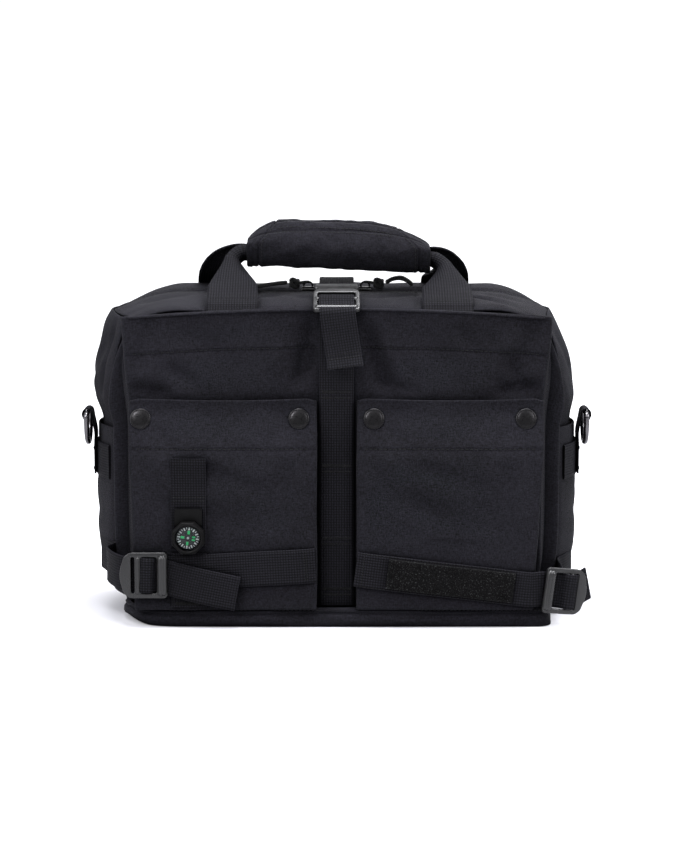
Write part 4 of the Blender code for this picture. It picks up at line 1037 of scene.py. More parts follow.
def pocket_shape(x, z, xa, xb, seed):
    w = (x - xa) / (xb - xa)
    mid = 4 * w * (1 - w)
    d = -1.1 * mid * np.sin(pi * np.clip((z - 13) / 150, 0, 1)) ** 0.8
    d = d - (1.15 * N_POCKET.fbm(x + seed, z, 42, 3) + 0.4 * N_POCKET.fbm(x + seed, z, 14, 2)) * (0.3 + 0.7 * mid)
    for sx in SNAP_X:
        if xa < sx < xb:
            r2 = np.hypot(x - sx, z - SNAP_Z)
            d = d + 1.1 * bump1(r2, 13.0)
            toward = (xa + xb) / 2
            sg = 1 if toward > sx else -1
            d = d + crease(x, z, (sx + sg * 7, SNAP_Z - 5), (sx + sg * 26, SNAP_Z - 22), 5.0, 0.9)
            d = d + crease(x, z, (sx + sg * 8, SNAP_Z + 4), (sx + sg * 30, SNAP_Z + 8), 4.0, 0.7)
            d = d + crease(x, z, (sx - sg * 1, SNAP_Z - 10), (sx - sg * 2, SNAP_Z - 40), 5.0, 0.8)
    d = d - 0.9 * np.clip(mid, 0, 1) * step(150, 163, z)
    cx = (xa + xb) / 2
    d = d + crease(x, z, (cx - 30, 118), (cx + 26, 100), 7, 1.6) + crease(x, z, (cx - 44, 96), (cx + 8, 74), 9, 1.7)
    d = d + crease(x, z, (cx + 46, 120), (cx + 30, 72), 9, 1.5) + crease(x, z, (cx - 50, 126), (cx - 34, 92), 8, -1.2)
    zs = 128.5
    d = d - 0.55 * step(-0.9, 0.6, z - zs) + 0.5 * bump1(z - zs + 0.2, 0.9)
    d = d - 0.5 * bump1(z - POCKET_TOP_Z, 1.6)
    under = 1 - step(60, 74, z)
    return np.clip(d, -3.2 * (1 - under) - 0.9 * under, 3.4)


for side, s, seed in (("left", -1, 0), ("right", 1, 400)):
    xa, xb = (-POCKET_OUT_X, -POCKET_IN_X) if s < 0 else (POCKET_IN_X, POCKET_OUT_X)
    nv = 118
    Vr = np.linspace(0, 1, nv)
    zz = Z0 + 0.4 + Vr * (POCKET_TOP_Z - Z0 - 0.4)
    yf = pocket_y(zz)
    cols = []
    for e, xe in ((-1, xa), (1, xb)):
        wob = 0.5 * N_POCKET.fbm(zz, 0 * zz + 90 * e + seed, 34, 2)
        A = np.stack([0 * zz + xe - e * 0.2, np.maximum(0 * zz + SLIP_Y - 1.0, yf + 1.2)], 1)
        C = np.stack([xe + e * 0.2 + wob, np.minimum(yf + 0.2, SLIP_Y - 2.4)], 1)
        E = np.stack([0 * zz + xe - e * 7.0, np.minimum(yf, SLIP_Y - 2.5)], 1)
        f = plan_fold(A, C, E, 2.0, 5, 6)
        cols.append(np.concatenate([f, np.repeat(zz[None, :, None], f.shape[0], 0)], 2))
    nf = 92
    t = np.linspace(0, 1, nf + 2)[1:-1]
    X = (xa + 5.0) + (xb - xa - 10.0) * t[:, None] + 0 * zz[None]
    sag = -1.3 * (4 * t * (1 - t))[:, None] * (zz[None] > 120) * step(120, 163, zz)[None]
    face = np.stack([X, yf[None] + 0 * X, zz[None] + sag], 2)
    P = np.concatenate([cols[0], face, cols[1][::-1]], 0)
    edge = np.concatenate([np.zeros(8), np.linspace(0.2, 0.9, 3), np.ones(nf), np.linspace(0.9, 0.2, 3), np.zeros(8)])
    P[..., 1] += pocket_shape(P[..., 0], P[..., 2], xa, xb, seed) * edge[:, None]
    # the two top corners are turned under, and rounded off
    cut = 1.6 * (bump1(P[..., 0] - xa, 3.5) + bump1(P[..., 0] - xb, 3.5)) * step(150, 163, zz)[None]
    P[..., 2] -= cut
    lean = (6.2 if s > 0 else 3.0) * (1 - step(0, 150, zz))[None]
    P[..., 0] -= s * lean * np.clip((s * P[..., 0] - 14.2) / 132.8, 0, 1) ** 2
    name = "pocket_cloth_" + side
    ob = sheet(name, P, 1.5, M_FAB, body=None, replaces=("pocket_%s_front" % side, "pocket_%s_base" % side))
    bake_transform(ob)
    xs = np.linspace(xa + 4, xb - 4, 260)
    for zs in (128.5,):
        ys = pocket_y(zs) + pocket_shape(xs, zs + 0 * xs, xa, xb, seed)
        sew(np.stack([xs, ys, zs + 0 * xs], 1), np.repeat([[0, -1.0, 0]], len(xs), 0), body="pocket_" + side, r=0.30,
            lift=0.16)
    # snaps: a domed cap with a rolled rim
    for i, sx in enumerate(SNAP_X):
        if not xa < sx < xb:
            continue
        sl = math.atan2(float(pocket_y(SNAP_Z + 2) - pocket_y(SNAP_Z - 2)), 4.0)
        prof = [(0.0, 1.42), (1.8, 1.40), (3.4, 1.32), (4.7, 1.19), (5.5, 1.06), (5.85, 0.95), (6.05, 0.90), (6.3, 0.95),
                (6.75, 0.96), (7.1, 0.80), (7.35, 0.42), (7.35, 0.05), (7.1, -0.3), (0.0, -0.3)]
        n = 64
        P2, F2 = [], []
        for r, h in prof:
            a = np.linspace(0, 2 * pi, n, endpoint=False)
            P2.append(np.stack([r * np.cos(a), r * np.sin(a), np.full(n, h)], 1))
        k = len(prof)
        V2 = np.concatenate(P2)
        for j in range(k - 1):
            for m in range(n):
                m2 = (m + 1) % n
                F2.append([j * n + m, (j + 1) * n + m, (j + 1) * n + m2, j * n + m2])
        cap = make_mesh("snap_%d" % (i + 1), V2, F2, M_SNAP, sharp=35)
        bm = bmesh.new()
        bm.from_mesh(cap.data)
        bmesh.ops.remove_doubles(bm, verts=bm.verts, dist=1e-6)
        bmesh.ops.recalc_face_normals(bm, faces=bm.faces)
        bm.to_mesh(cap.data)
        bm.free()
        yc = float(pocket_y(SNAP_Z)) + float(pocket_shape(np.array(sx), np.array(SNAP_Z), xa, xb, seed))
        cap.matrix_world = Matrix.Translation(Vector((sx, min(yc, float(pocket_y(SNAP_Z)) + 0.3) - 0.2, SNAP_Z)) * MM) @ Matrix.Rotation(pi / 2 - sl, 4, "X")
        finish_piece(cap, "pocket_" + side, ("snap_cap_%d" % (i + 1),))

# ------------------------------------------------------------------ centre webbing and top strap
def soft(seed, amp, size=40):
    L = Lattice(seed)
    return lambda al, s, total: amp * L.fbm(al, s, size, 2)


web("centre", [(0, SLIP_Y - 1.1, z) for z in (13.2, 50, 90, 130, 170, 200, 224)], [(1, 0, 0)], 24.8, 1.5,
    replaces=("center_webbing",), shape=soft(5, 0.22), gap=1.2)
for z in (168.0, 115.0, 62.5, 25.6):
    bartack((0, SLIP_Y - 1.85, z), (1, 0, 0), (0, 0, 1), (0, -1, 0), 20.0)
    bartack((0, SLIP_Y - 1.85, z - 4.2), (1, 0, 0), (0, 0, 1), (0, -1, 0), 20.0, 1.2)
bx = float(BACK_Y)
web("strap_over", [(0, bx + 1.3, 120), (0, bx + 1.3, 150), (0, bx + 1.3, 190), (0, bx + 1.3, 222), (0, bx + 1.0, 229.4),
                   (0, bx - 2.0, 232.6), (0, bx - 14, float(top_z(0, bx - 14)) + 6.2), (0, 36, float(top_z(0, 36)) + 7.0),
                   (0, 25, 242.2), (0, 14, 243.4), (0, 2, 242.0), (0, -8, 239.6), (0, -17.5, 237.6)], [(1, 0, 0)], 25.2, 1.4,
    replaces=("top_strap",), shape=soft(6, 0.25), out=(0, 1, 0.3))
for z in (128.0, 150.0):
    bartack((0, bx + 2.1, z), (1, 0, 0), (0, 0, 1), (0, 1, 0), 20.0)
bartack((0, -13.0, 238.3), (1, 0, 0), (0, 1, 0), (0, 0, 1), 21.0, 2.0)


def plate(name, loops, thick, bevel, matrix, mat, body, replaces, res=2):
    """A flat moulded part with holes and rounded edges, in its own X-Y plane."""
    cu = bpy.data.curves.new(name, "CURVE")
    cu.dimensions = "2D"
    cu.fill_mode = "BOTH"
    cu.extrude = (thick / 2 - bevel) * MM
    cu.bevel_depth = bevel * MM
    cu.bevel_resolution = res
    cu.offset = -bevel * MM
    for lp in loops:
        sp = cu.splines.new("POLY")
        sp.points.add(len(lp) - 1)
        for q, (x, y) in zip(sp.points, lp):
            q.co = (x * MM, y * MM, 0, 1)
        sp.use_cyclic_u = True
    tmp = bpy.data.objects.new(name + "_c", cu)
    scene.collection.objects.link(tmp)
    bpy.context.view_layer.update()
    me = bpy.data.meshes.new_from_object(tmp.evaluated_get(bpy.context.evaluated_depsgraph_get()))
    bpy.data.objects.remove(tmp, do_unlink=True)
    bm = bmesh.new()
    bm.from_mesh(me)
    bmesh.ops.remove_doubles(bm, verts=bm.verts, dist=1e-6)
    bm.to_mesh(me)
    bm.free()
    me.name = name
    me.materials.clear()
    me.materials.append(mat)
    me.shade_smooth()
    me.set_sharp_from_angle(angle=math.radians(38))
    ob = bpy.data.objects.new(name, me)
    scene.collection.objects.link(ob)
    ob.matrix_world = matrix
    return finish_piece(ob, body, replaces)


def rounded_poly(pts, r, n=5):
    """A polygon with each corner rounded to about r."""
    out, k = [], len(pts)
    rs = [r] * k if np.isscalar(r) else r
    for i in range(k):
        p0, p1, p2 = (np.array(pts[(i + j - 1) % k], float) for j in range(3))
        a, b = p0 - p1, p2 - p1
        la, lb = np.linalg.norm(a), np.linalg.norm(b)
        q = min(rs[i], la * 0.45, lb * 0.45)
        for t in np.linspace(0, 1, n + 1):
            out.append(tuple((1 - t) ** 2 * (p1 + a / la * q) + 2 * t * (1 - t) * p1 + t * t * (p1 + b / lb * q)))
    return out


def rect(cx, cy, w, h, r):
    return rounded_poly([(cx - w / 2, cy - h / 2), (cx + w / 2, cy - h / 2), (cx + w / 2, cy + h / 2),
                         (cx - w / 2, cy + h / 2)], r)


# buckle: receiving half keeps its moulded shape, the plug half gets rounded bars
for n in ("buckle_female", "buckle_prong_left", "buckle_prong_right", "compass_case"):
    NODES[n].data.materials.clear()
    NODES[n].data.materials.append(M_PLA if n != "compass_case" else M_CASE)
MALE = Matrix.Translation(Vector((0, -54.0, 233.4)) * MM) @ Matrix.Rotation(math.radians(33), 4, "X")
plate("plug_frame", [rounded_poly([(-16.6, -13.2), (16.6, -13.2), (16.6, 7.5), (13.6, 11.2), (-13.6, 11.2), (-16.6, 7.5)], 2.6),
                     rect(0, 3.9, 26.6, 4.8, 1.2), rect(0, -5.2, 26.6, 5.6, 1.2)], 3.2, 0.75, MALE, M_PLA, "buckle_plug",
      ("buckle_male",), 3)
for nm, yy, rr in (("plug_bar_low", -10.4, 2.35), ("plug_bar_mid", -0.6, 1.9)):
    pts = [MALE @ (Vector((xx, yy, 0.5)) * MM) / MM for xx in (-15.8, -8, 0, 8, 15.8)]
    tube(nm, [tuple(q) for q in pts], rr, M_PLA, gap=1.2, seg=20, body="buckle_plug")
# the tail: round the plug's bar, then down the front
P0 = MALE @ (Vector((0, 1.8, 2.2)) * MM) / MM
P1 = MALE @ (Vector((0, -1.4, 3.6)) * MM) / MM
P2 = MALE @ (Vector((0, -6.5, 2.0)) * MM) / MM
web("tail_cloth", [tuple(P0), tuple(P1), tuple(P2), (0.6, -66.2, 227.0), (1.1, -67.2, 222.4), (1.8, -67.4, 217.0), (3.2, -67.6, 207),
                   (5.0, -69.2, 196), (6.3, -72.6, 187.0)],
    [(1, 0, 0), (1, 0, 0), (1, 0, 0), (1, 0, 0.03), (1, 0, 0.05), (1, 0, 0.08), (1, 0, 0.10), (1, 0, 0.11), (1, 0, 0.11)], 25.2, 1.5,
    body="buckle_plug", replaces=("center_tail",), shape=lambda al, s, L: 0.5 * np.sin(s / 8.0 + al / 15.0) * step(18, 40, al),
    gap=1.0, out=(0, -0.7, 0.7))
q, n = sheet_path("tail_cloth", [(0.83, 0.06), (0.83, 0.94)], 40)
sew(q, n, body="buckle_plug", pitch=1.9, length=1.4)
q, n = sheet_path("tail_cloth", [(0.88, 0.06), (0.88, 0.94)], 40)
sew(q, n, body="buckle_plug", pitch=1.9, length=1.4)

# ------------------------------------------------------------------ handles
def handle_cloth(name, node, body, y0, z0, run_y, run_z, tilt, foot, bases, apex, out, seed, run_w, legs):
    """Two flat legs that narrow, fold over at the top and run into the grip, in one strap."""
    rows = []
    for s in (-1, 1):
        i = 0 if s < 0 else 1
        bx, tx = bases[i], apex[i]
        lift = -tx * math.sin(tilt)
        top = run_z + lift
        d = np.array((tx - bx, run_y - y0, top - z0))
        # share of the way up, share across to the apex, width, width direction's turn, curl, squeeze
        leg = legs
        seq = []
        for t, g, w, deg, cu, sq in leg:
            c = np.array((bx + (tx - bx) * g, y0 + (run_y - y0) * max(t, 0) ** (1.0 if foot is None else 0.9), z0 + (top - z0) * t))
            if foot is not None and t < 0:
                c = np.array((bx, foot[0] + (y0 - foot[0]) * (1 + t / 0.2), foot[1] + (z0 - foot[1]) * (1 + t / 0.2)))
            a = math.radians(deg)
            seq.append((c, np.array((math.cos(a), 0, s * math.sin(a))), w, cu, sq, 1.0))
        for dx, dz, w, deg, cu, sq in ((4.5, 1.3, 21, 80, 2.6, 0.68), (10.0, 1.2, 19, 88, 2.6, 0.66)):
            a = math.radians(deg)
            seq.append((np.array((tx - s * dx, run_y + 0.3, top + dz + s * dx * math.sin(tilt))),
                        np.array((math.cos(a), 0, s * math.sin(a))), w, cu, sq, 0.9))
        for k in (0.72, 0.3):
            seq.append((np.array((s * run_half * k, run_y + 0.6, run_z - s * run_half * k * math.sin(tilt))),
                        np.array((0, 0, 1.0 * s)), run_w, 2.4, 0.66, 0.8))
        if s > 0:
            seq = [(c, -a, w, cu, sq, pf) for c, a, w, cu, sq, pf in seq[::-1]]
        rows += seq
    P, A, W, C, S, F = zip(*rows)
    return web(name, P, A, 36, 1.9, body=body, replaces=(node,), widths=W, curl=C, squeeze=S, puff=F, nx=26, gap=1.1,
               out=out, shape=soft(seed, 0.35, 16))


run_half = 60.0
# share of the way up, share across to the apex, width, width direction's turn, curl, squeeze
FRONT_LEG = [(-0.2, 0.0, 36, 0, 0.02, 1.0), (-0.1, 0.0, 36, 0, 0.03, 1.0), (0.0, 0.0, 36, 0, 0.05, 1.0), (0.2, 0.0, 36, 0, 0.12, 1.0),
             (0.38, 0.02, 35.6, 0, 0.3, 1.0), (0.50, 0.06, 33, 2, 0.55, 0.97), (0.62, 0.14, 28.5, 6, 0.8, 0.94),
             (0.74, 0.28, 24, 14, 1.1, 0.90), (0.86, 0.50, 19.5, 28, 1.5, 0.85), (0.95, 0.80, 16.5, 48, 1.8, 0.80)]
REAR_LEG = [(-0.12, 0.0, 36, 0, 0.05, 1.0), (0.0, 0.0, 36, 0, 0.1, 1.0), (0.18, 0.02, 36, 0, 0.2, 1.0),
            (0.34, 0.05, 36, 0, 0.3, 0.99), (0.48, 0.10, 36, 3, 0.5, 0.98), (0.62, 0.18, 35, 8, 0.8, 0.96),
            (0.76, 0.32, 33, 20, 1.2, 0.91), (0.88, 0.54, 29, 38, 1.7, 0.84), (0.97, 0.88, 25, 62, 2.2, 0.74)]
FH = handle_cloth("front_handle_cloth", "handle_front", None, -49.5, 230.4, -3.0, 259.0, GRIP_TILT, (-54.6, 224.2),
             (-74.4, 79.0), (-73.0, 75.0), (0, -1, 0.3), 71, 14, FRONT_LEG)
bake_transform(FH)
handle_cloth("rear_handle_cloth", "handle_rear", "rear_handle", 50.0, 233.0, 18.0, 260.5, GRIP_TILT * 0.5, None, (-86.0, 81.0),
             (-74.0, 76.0), (0, 1, 0.3), 72, 17, REAR_LEG)
for nm, rows in (("front_handle_cloth", (0.035, 0.965)), ("rear_handle_cloth", (0.035, 0.965))):
    for r in rows:
        for dr in (0.0, 0.012):
            q, n = sheet_path(nm, [(r + (dr if r < 0.5 else -dr), 0.06), (r + (dr if r < 0.5 else -dr), 0.94)], 60)
            sew(q, n, body="bag" if "front" in nm else "rear_handle", pitch=1.8, length=1.3)


# ------------------------------------------------------------------ the padded grip
def inflate(name, p, n, pins, pressure, cap):
    """How far a sewn pad's cover swells between its seams: pinned along them, pushed out by its filling."""
    nu, nv = p.shape[:2]
    iu, iv = np.unique(np.linspace(0, nu - 1, 76).astype(int)), np.unique(np.linspace(0, nv - 1, 33).astype(int))
    q, qn = p[np.ix_(iu, iv)], n[np.ix_(iu, iv)]
    a, b = q.shape[:2]
    ids = np.arange(a * b).reshape(a, b)
    f = np.stack([ids[:-1, :-1], ids[1:, :-1], ids[1:, 1:], ids[:-1, 1:]], -1).reshape(-1, 4)
    face_n = np.cross(q[1, 0] - q[0, 0], q[1, 1] - q[1, 0])
    if face_n @ qn[0, 0] < 0:
        f = f[:, ::-1]
    me = bpy.data.meshes.new(name + "_sim")
    me.from_pydata((q.reshape(-1, 3) * MM).tolist(), [], f.tolist())
    ob = bpy.data.objects.new(name + "_sim", me)
    scene.collection.objects.link(ob)
    g = ob.vertex_groups.new(name="sewn")
    w = pins[np.ix_(iu, iv)].ravel()
    for i, wi in enumerate(w):
        g.add([i], float(wi), "REPLACE")
    m = ob.modifiers.new("cloth", "CLOTH")
    c = m.settings
    c.quality = 6
    c.mass = 0.25
    c.tension_stiffness = c.compression_stiffness = 9.0
    c.shear_stiffness = 5.0
    c.bending_stiffness = 3.0
    c.air_damping = 2.0
    c.effector_weights.gravity = 0.0
    c.vertex_group_mass = "sewn"
    c.use_pressure = True
    c.uniform_pressure_force = pressure
    c.shrink_min = -0.02
    m.collision_settings.use_collision = False
    m.point_cache.frame_start, m.point_cache.frame_end = 1, 20
    for fr in range(1, 21):
        scene.frame_set(fr)
    dep = bpy.context.evaluated_depsgraph_get()
    ev = ob.evaluated_get(dep).to_mesh()
    co = np.empty(len(ev.vertices) * 3, np.float32)
    ev.vertices.foreach_get("co", co)
    ob.evaluated_get(dep).to_mesh_clear()
    scene.frame_set(1)
    d = ((co.reshape(a, b, 3).astype(float) / MM - q) * qn).sum(2)
    bpy.data.objects.remove(ob, do_unlink=True)
    bpy.data.meshes.remove(me)
    d = np.clip(np.nan_to_num(d), -0.6, cap)
    free = (1 - w.reshape(a, b))
    for _ in range(3):
        e = np.pad(d, 1, mode="edge")
        d = free * (e[1:-1, 1:-1] * 2 + e[:-2, 1:-1] + e[2:, 1:-1] + e[1:-1, :-2] + e[1:-1, 2:]) / 6
    full = np.stack([np.interp(np.arange(nu), iu, d[:, k]) for k in range(b)], 1)
    full = np.stack([np.interp(np.arange(nv), iv, full[k]) for k in range(nu)], 0)
    print("pad", name, "swells", round(float(d.max()), 2), "mm")
    return full


def grip_shell(name, a0, a1, wall, body, nodes, seed, seam_line, ends_seam):
    nx, na = 150, 64
    U, V = axes(nx, na)
    t = 2 * U - 1
    x = t * GRIP_HALF_L
    a = np.radians(a0 + (a1 - a0) * V)
    f = 1 - 0.13 * np.abs(t) ** 5
    up = np.where(t < 0, 1 - np.abs(t) ** 4.8, 1 - np.abs(t) ** 2.85)
    L = Lattice(seed)
    swell = 0.55 * L.fbm(x, a * 16, 26, 3) + 0.25 * L.fbm(x, a * 16, 8, 2)
    # a soft pad: fullest in the middle, drawn in at its seams
    groove = 0
    for xs, bow, w, dpt in ends_seam:
        line = xs + bow * np.clip(np.sin(a), 0, 1) ** 1.5
        groove = groove + dpt * bump1(x - line, w)
        groove = groove - 0.45 * dpt * bump1(x - line, w * 4.5)
    if seam_line is not None:
        aa, w, dpt = seam_line
        groove = groove + dpt * bump1((a - np.radians(aa)) * 16.5 + 1.2 * np.sin(x / 34.0), w)
    roll = 1.5 * (bump1(V, 0.035) + bump1(1 - V, 0.035))
    hem = 0.8 * step(0.945, 0.955, np.abs(t))
    rr = 1 + (swell - groove + hem - roll * 0.4) / 16.0
    hy = (GRIP_HALF_D - 0.1) * f * rr
    low = (GRIP_HALF_H - 0.1) * (1 - 0.03 * np.abs(t) ** 6)
    hz = np.where(np.sin(a) > 0, 3.2 + (GRIP_HALF_H - 1.6) * up, low) * rr
    flat = 1 + 0.05 * np.cos(4 * a)
    p = np.stack([GRIP_X + x, GRIP_Y + hy * np.cos(a) * flat,
                  GRIP_Z - x * math.sin(GRIP_TILT) + hz * np.sin(a)], 2)
    # du is along X and dv runs with the angle, so the outward side is found from the first normal
    n = grid_normals(p)
    c = np.array((GRIP_X, GRIP_Y, GRIP_Z))
    mid = p[nx // 2, na // 2]
    flip = float(n[nx // 2, na // 2] @ (mid - c)) < 0
    out = -n if flip else n
    pins = np.maximum(1.0 * ((U < 0.012) | (U > 0.988)), 1.0 * ((V < 0.03) | (V > 0.97)))
    for xs, bow, w, dpt in ends_seam:
        pins = np.maximum(pins, bump1(x - (xs + bow * np.clip(np.sin(a), 0, 1) ** 1.5), 1.6))
    if seam_line is not None:
        pins = np.maximum(pins, bump1((a - np.radians(seam_line[0])) * 16.5 + 1.2 * np.sin(x / 34.0), 1.6))
    pins = np.where(pins > 0.5, 1.0, 0.0)
    p = p + out * inflate(name, p, out, pins, 4.0, 1.6)[..., None]
    ob = sheet(name, p, wall, M_FAB, body=body, replaces=nodes, flip=flip, rim=0.28)
    if flip:
        SHEETS[name] = (p, -n)
    return ob


ENDS = [(-58.0, 12.5, 0.8, 1.1), (58.0, -15.0, 0.8, 1.1)]
grip_front = grip_shell("grip_cover_pad", 107, 279, 3.6, "grip_cover", ("grip_flap",), 81, (141, 1.0, 1.0), ENDS)
grip_back = grip_shell("grip_core_pad", -67, 97, 4.6, "front_handle", ("grip_core",), 82, None, ENDS)
def seam_uv(xs, bow, shift):
    v = np.linspace(0.03, 0.97, 60)
    a = np.radians(107 + 172 * v)
    return list(zip(((xs + shift + bow * np.clip(np.sin(a), 0, 1) ** 1.5) / GRIP_HALF_L + 1) / 2, v))


for xs, bow, sh in ((-58.0, 12.5, 2.4), (58.0, -15.0, -2.4)):
    q, n = sheet_path("grip_cover_pad", seam_uv(xs, bow, sh), 160)
    sew(q, n, body="grip_cover", pitch=2.6, length=1.8, r=0.26)
for v in (0.165, 0.235):
    q, n = sheet_path("grip_cover_pad", [(0.16, v), (0.80, v)], 300)
    sew(q, n, body="grip_cover", pitch=2.9, length=2.1, r=0.28, lift=0.12)

# ------------------------------------------------------------------ lower straps and ladder locks
strap_l = [(-15.0, -71.4, 45.3), (-20.0, -72.3, 45.0), (-30.0, -72.9, 44.4), (-50.0, -72.9, 43.4), (-76.0, -72.9, 42.0),
           (-100.0, -72.7, 40.7), (-120.0, -72.2, 39.6), (-132.0, -72.0, 39.2), (-137.4, -72.6, 39.1), (-139.4, -74.4, 39.0),
           (-138.6, -76.4, 39.0), (-135.6, -77.6, 39.0), (-132.0, -77.2, 38.9), (-129.4, -75.4, 38.6), (-126.0, -74.0, 38.0),
           (-119.0, -73.9, 36.6), (-111.0, -75.0, 34.7), (-98.0, -76.2, 31.6), (-84.0, -76.6, 28.6), (-70.5, -77.8, 26.0)]
lean_l = [(0.05, 0, 1)] * 12 + [(0.06, 0, 1), (0.08, 0, 1), (0.10, 0, 1), (0.12, 0, 1), (0.15, 0, 1), (0.17, 0, 1), (0.13, 0, 1), (0.06, 0, 1)]
web("lower_left", strap_l, lean_l, 25.2, 1.5, replaces=("strap_left",), gap=0.9, shape=soft(51, 0.25))
LOCK_OUT = [(16.5, 15.0), (14.9, 16.5), (-10.0, 16.5), (-14.4, 13.2), (-17.2, 3.2), (-17.2, -3.2), (-14.4, -13.2),
            (-10.0, -16.5), (14.9, -16.5), (16.5, -15.0)]
LOCK_R = [1.4, 1.6, 3.0, 2.5, 2.6, 2.6, 2.5, 3.0, 1.6, 1.4]


def lock(side, matrix, mirror):
    k = -1 if mirror else 1
    o = rounded_poly([(k * x, y) for x, y in LOCK_OUT], LOCK_R)
    h1, h2 = rect(k * 3.4, 0, 11.6, 26.2, 1.8), rect(k * -8.0, 0, 2.6, 26.4, 1.2)
    plate("lock_" + side, [o, h1, h2], 2.6, 0.6, matrix, M_PLA, "bag", ("ladder_" + side,), 3)
    for nm, cx, cz, r in (("bar", 12.2, 1.2, 2.5), ("bar2", 14.0, 0.9, 2.3), ("mid", -4.3, 0.4, 1.5)):
        half = 14.6 if nm != "mid" else 13.8
        pts = [tuple(matrix @ (Vector((k * cx, yy, cz)) * MM) / MM) for yy in np.linspace(-half, half, 5)]
        tube("lock_%s_%s" % (nm, side), pts, r, M_PLA, gap=1.4, seg=18, body="bag")


lock("left", Matrix.Translation(Vector((-136.7, STRAP_Y - 2.45, 39.0)) * MM) @ Matrix.Rotation(pi / 2, 4, "X"), False)
yb = STRAP_Y - 2.45
sx60 = lambda y, z: float(side_x(y, z))
anchor_l = [(-sx60(-8, 60) - 0.9, -8.0, 43.5), (-sx60(-22, 60) - 0.9, -22.0, 42.8), (-sx60(-33, 60) - 1.6, -33.0, 42.2),
            (-165.5, -42.0, 41.4), (-163.5, -52.0, 40.9), (-158.6, -62.5, 40.3), (-153.4, -69.6, 39.8), (-147.6, -72.6, 39.4),
            (-143.5, -73.3, 39.2), (-141.0, -73.3, 39.0)]
web("anchor_cloth_left", anchor_l, [(0, 0, 1)], 25.2, 1.4, replaces=("anchor_left",), gap=0.8, out=(-1, -0.3, 0),
    shape=soft(52, 0.25))
for v in (0.10, 0.14):
    q, n = sheet_path("lower_left", [(0.012 + v * 0.2, 0.08), (0.012 + v * 0.2, 0.92)], 50)
    sew(q, n, pitch=1.8, length=1.3)
LR_YAW, LR_DROOP = math.radians(23), math.radians(8.5)
LR_C = Vector((163.0, -66.6, 25.6))
LR_M = Matrix.Rotation(LR_YAW, 4, "Z") @ Matrix.Rotation(LR_DROOP, 4, "Y")
lock("right", Matrix.Translation(LR_C * MM) @ LR_M @ Matrix.Rotation(pi / 2, 4, "X"), True)


def lock_point(x, y, z=0.0):
    return tuple(LR_C + (LR_M @ Vector((x, y, z))))


up_r = tuple(LR_M @ Vector((0, 0, 1)))
flat = [(13.6, -71.6, 42.6), (19, -72.5, 41.9), (30, STRAP_Y, 40.6), (55, STRAP_Y, 37.6), (80, STRAP_Y, 34.7), (105, STRAP_Y, 31.8),
        (126, STRAP_Y, 29.3), (138, STRAP_Y + 0.2, 28.0)]
thread = [lock_point(*v) for v in ((-17.0, 2.7), (-9.0, 2.6), (-3.6, 1.5), (-1.0, -0.6), (1.2, -2.6), (4.2, -2.9),
                                   (7.2, -2.4), (8.6, -0.3), (9.8, 2.0))]
thread += [lock_point(14.0, 3.4, 3.0), lock_point(21.0, 5.4, 6.4)]
web("lower_right", flat + thread, [(0.115, 0, 1)] * len(flat) + [up_r] * len(thread), 25.2, 1.5,
    replaces=("strap_right",), gap=0.9, shape=soft(53, 0.22))
anchor_r = [(sx60(-6, 48) + 0.9, -6.0, 31.5), (sx60(-20, 48) + 0.9, -20.0, 31.0), (sx60(-32, 48) + 1.8, -32.0, 30.2),
            (162.0, -46.0, 28.6), (162.4, -56.0, 27.0), (162.0, -60.2, 26.4)]
web("anchor_cloth_right", anchor_r, [(0, 0, 1)], 25.2, 1.4, replaces=("anchor_right",), out=(1, -0.3, 0), shape=soft(54, 0.25))
# pile strip: a woven base with short loops standing on it
pile_pts = [(36.2, -74.9, 39.95), (66, -74.9, 36.3), (97, -74.9, 32.8), (126.0, -74.9, 29.4)]
web("pile_strip", pile_pts, [(0.125, 0, 1)], 21.6, 1.5, mat=M_PILE, replaces=("hook_loop_strip",),
    gap=0.9, shape=soft(55, 0.2, 6))


def pile():
    rng = np.random.default_rng(5)
    p, n = SHEETS["pile_strip"]
    k = 2600
    u, v = rng.uniform(0.005, 0.995, k) * (p.shape[0] - 1), rng.uniform(0.04, 0.96, k) * (p.shape[1] - 1)
    i, j = u.astype(int), v.astype(int)
    i, j = np.minimum(i, p.shape[0] - 2), np.minimum(j, p.shape[1] - 2)
    fu, fv = (u - i)[:, None], (v - j)[:, None]
    c = p[i, j] * (1 - fu) * (1 - fv) + p[i + 1, j] * fu * (1 - fv) + p[i, j + 1] * (1 - fu) * fv + p[i + 1, j + 1] * fu * fv
    nn = n[i, j]
    ang = rng.uniform(0, 2 * pi, k)
    d = np.stack([np.cos(ang), 0 * ang, np.sin(ang)], 1)
    h, w, th = rng.uniform(0.5, 1.1, k)[:, None], rng.uniform(0.35, 0.7, k)[:, None], 0.11
    side = np.cross(d, nn)
    prof = [(-1, -0.2), (-0.8, 0.7), (0, 1.0), (0.8, 0.7), (1, -0.2)]
    rows = []
    for a, b in prof:
        m = c + d * w * a + nn * h * b
        rows += [m + side * th, m + nn * th, m - side * th, m - nn * th]
    V3 = np.stack(rows, 1)
    base = (np.arange(k) * 20)[:, None]
    quads = []
    for r in range(4):
        for q in range(4):
            q2 = (q + 1) % 4
            quads.append([r * 4 + q, r * 4 + q2, (r + 1) * 4 + q2, (r + 1) * 4 + q])
    F3 = np.concatenate([base + np.array(q)[None] for q in quads]).tolist()
    finish_piece(make_mesh("pile_loops", V3.reshape(-1, 3), F3, M_PILE), "bag", ())


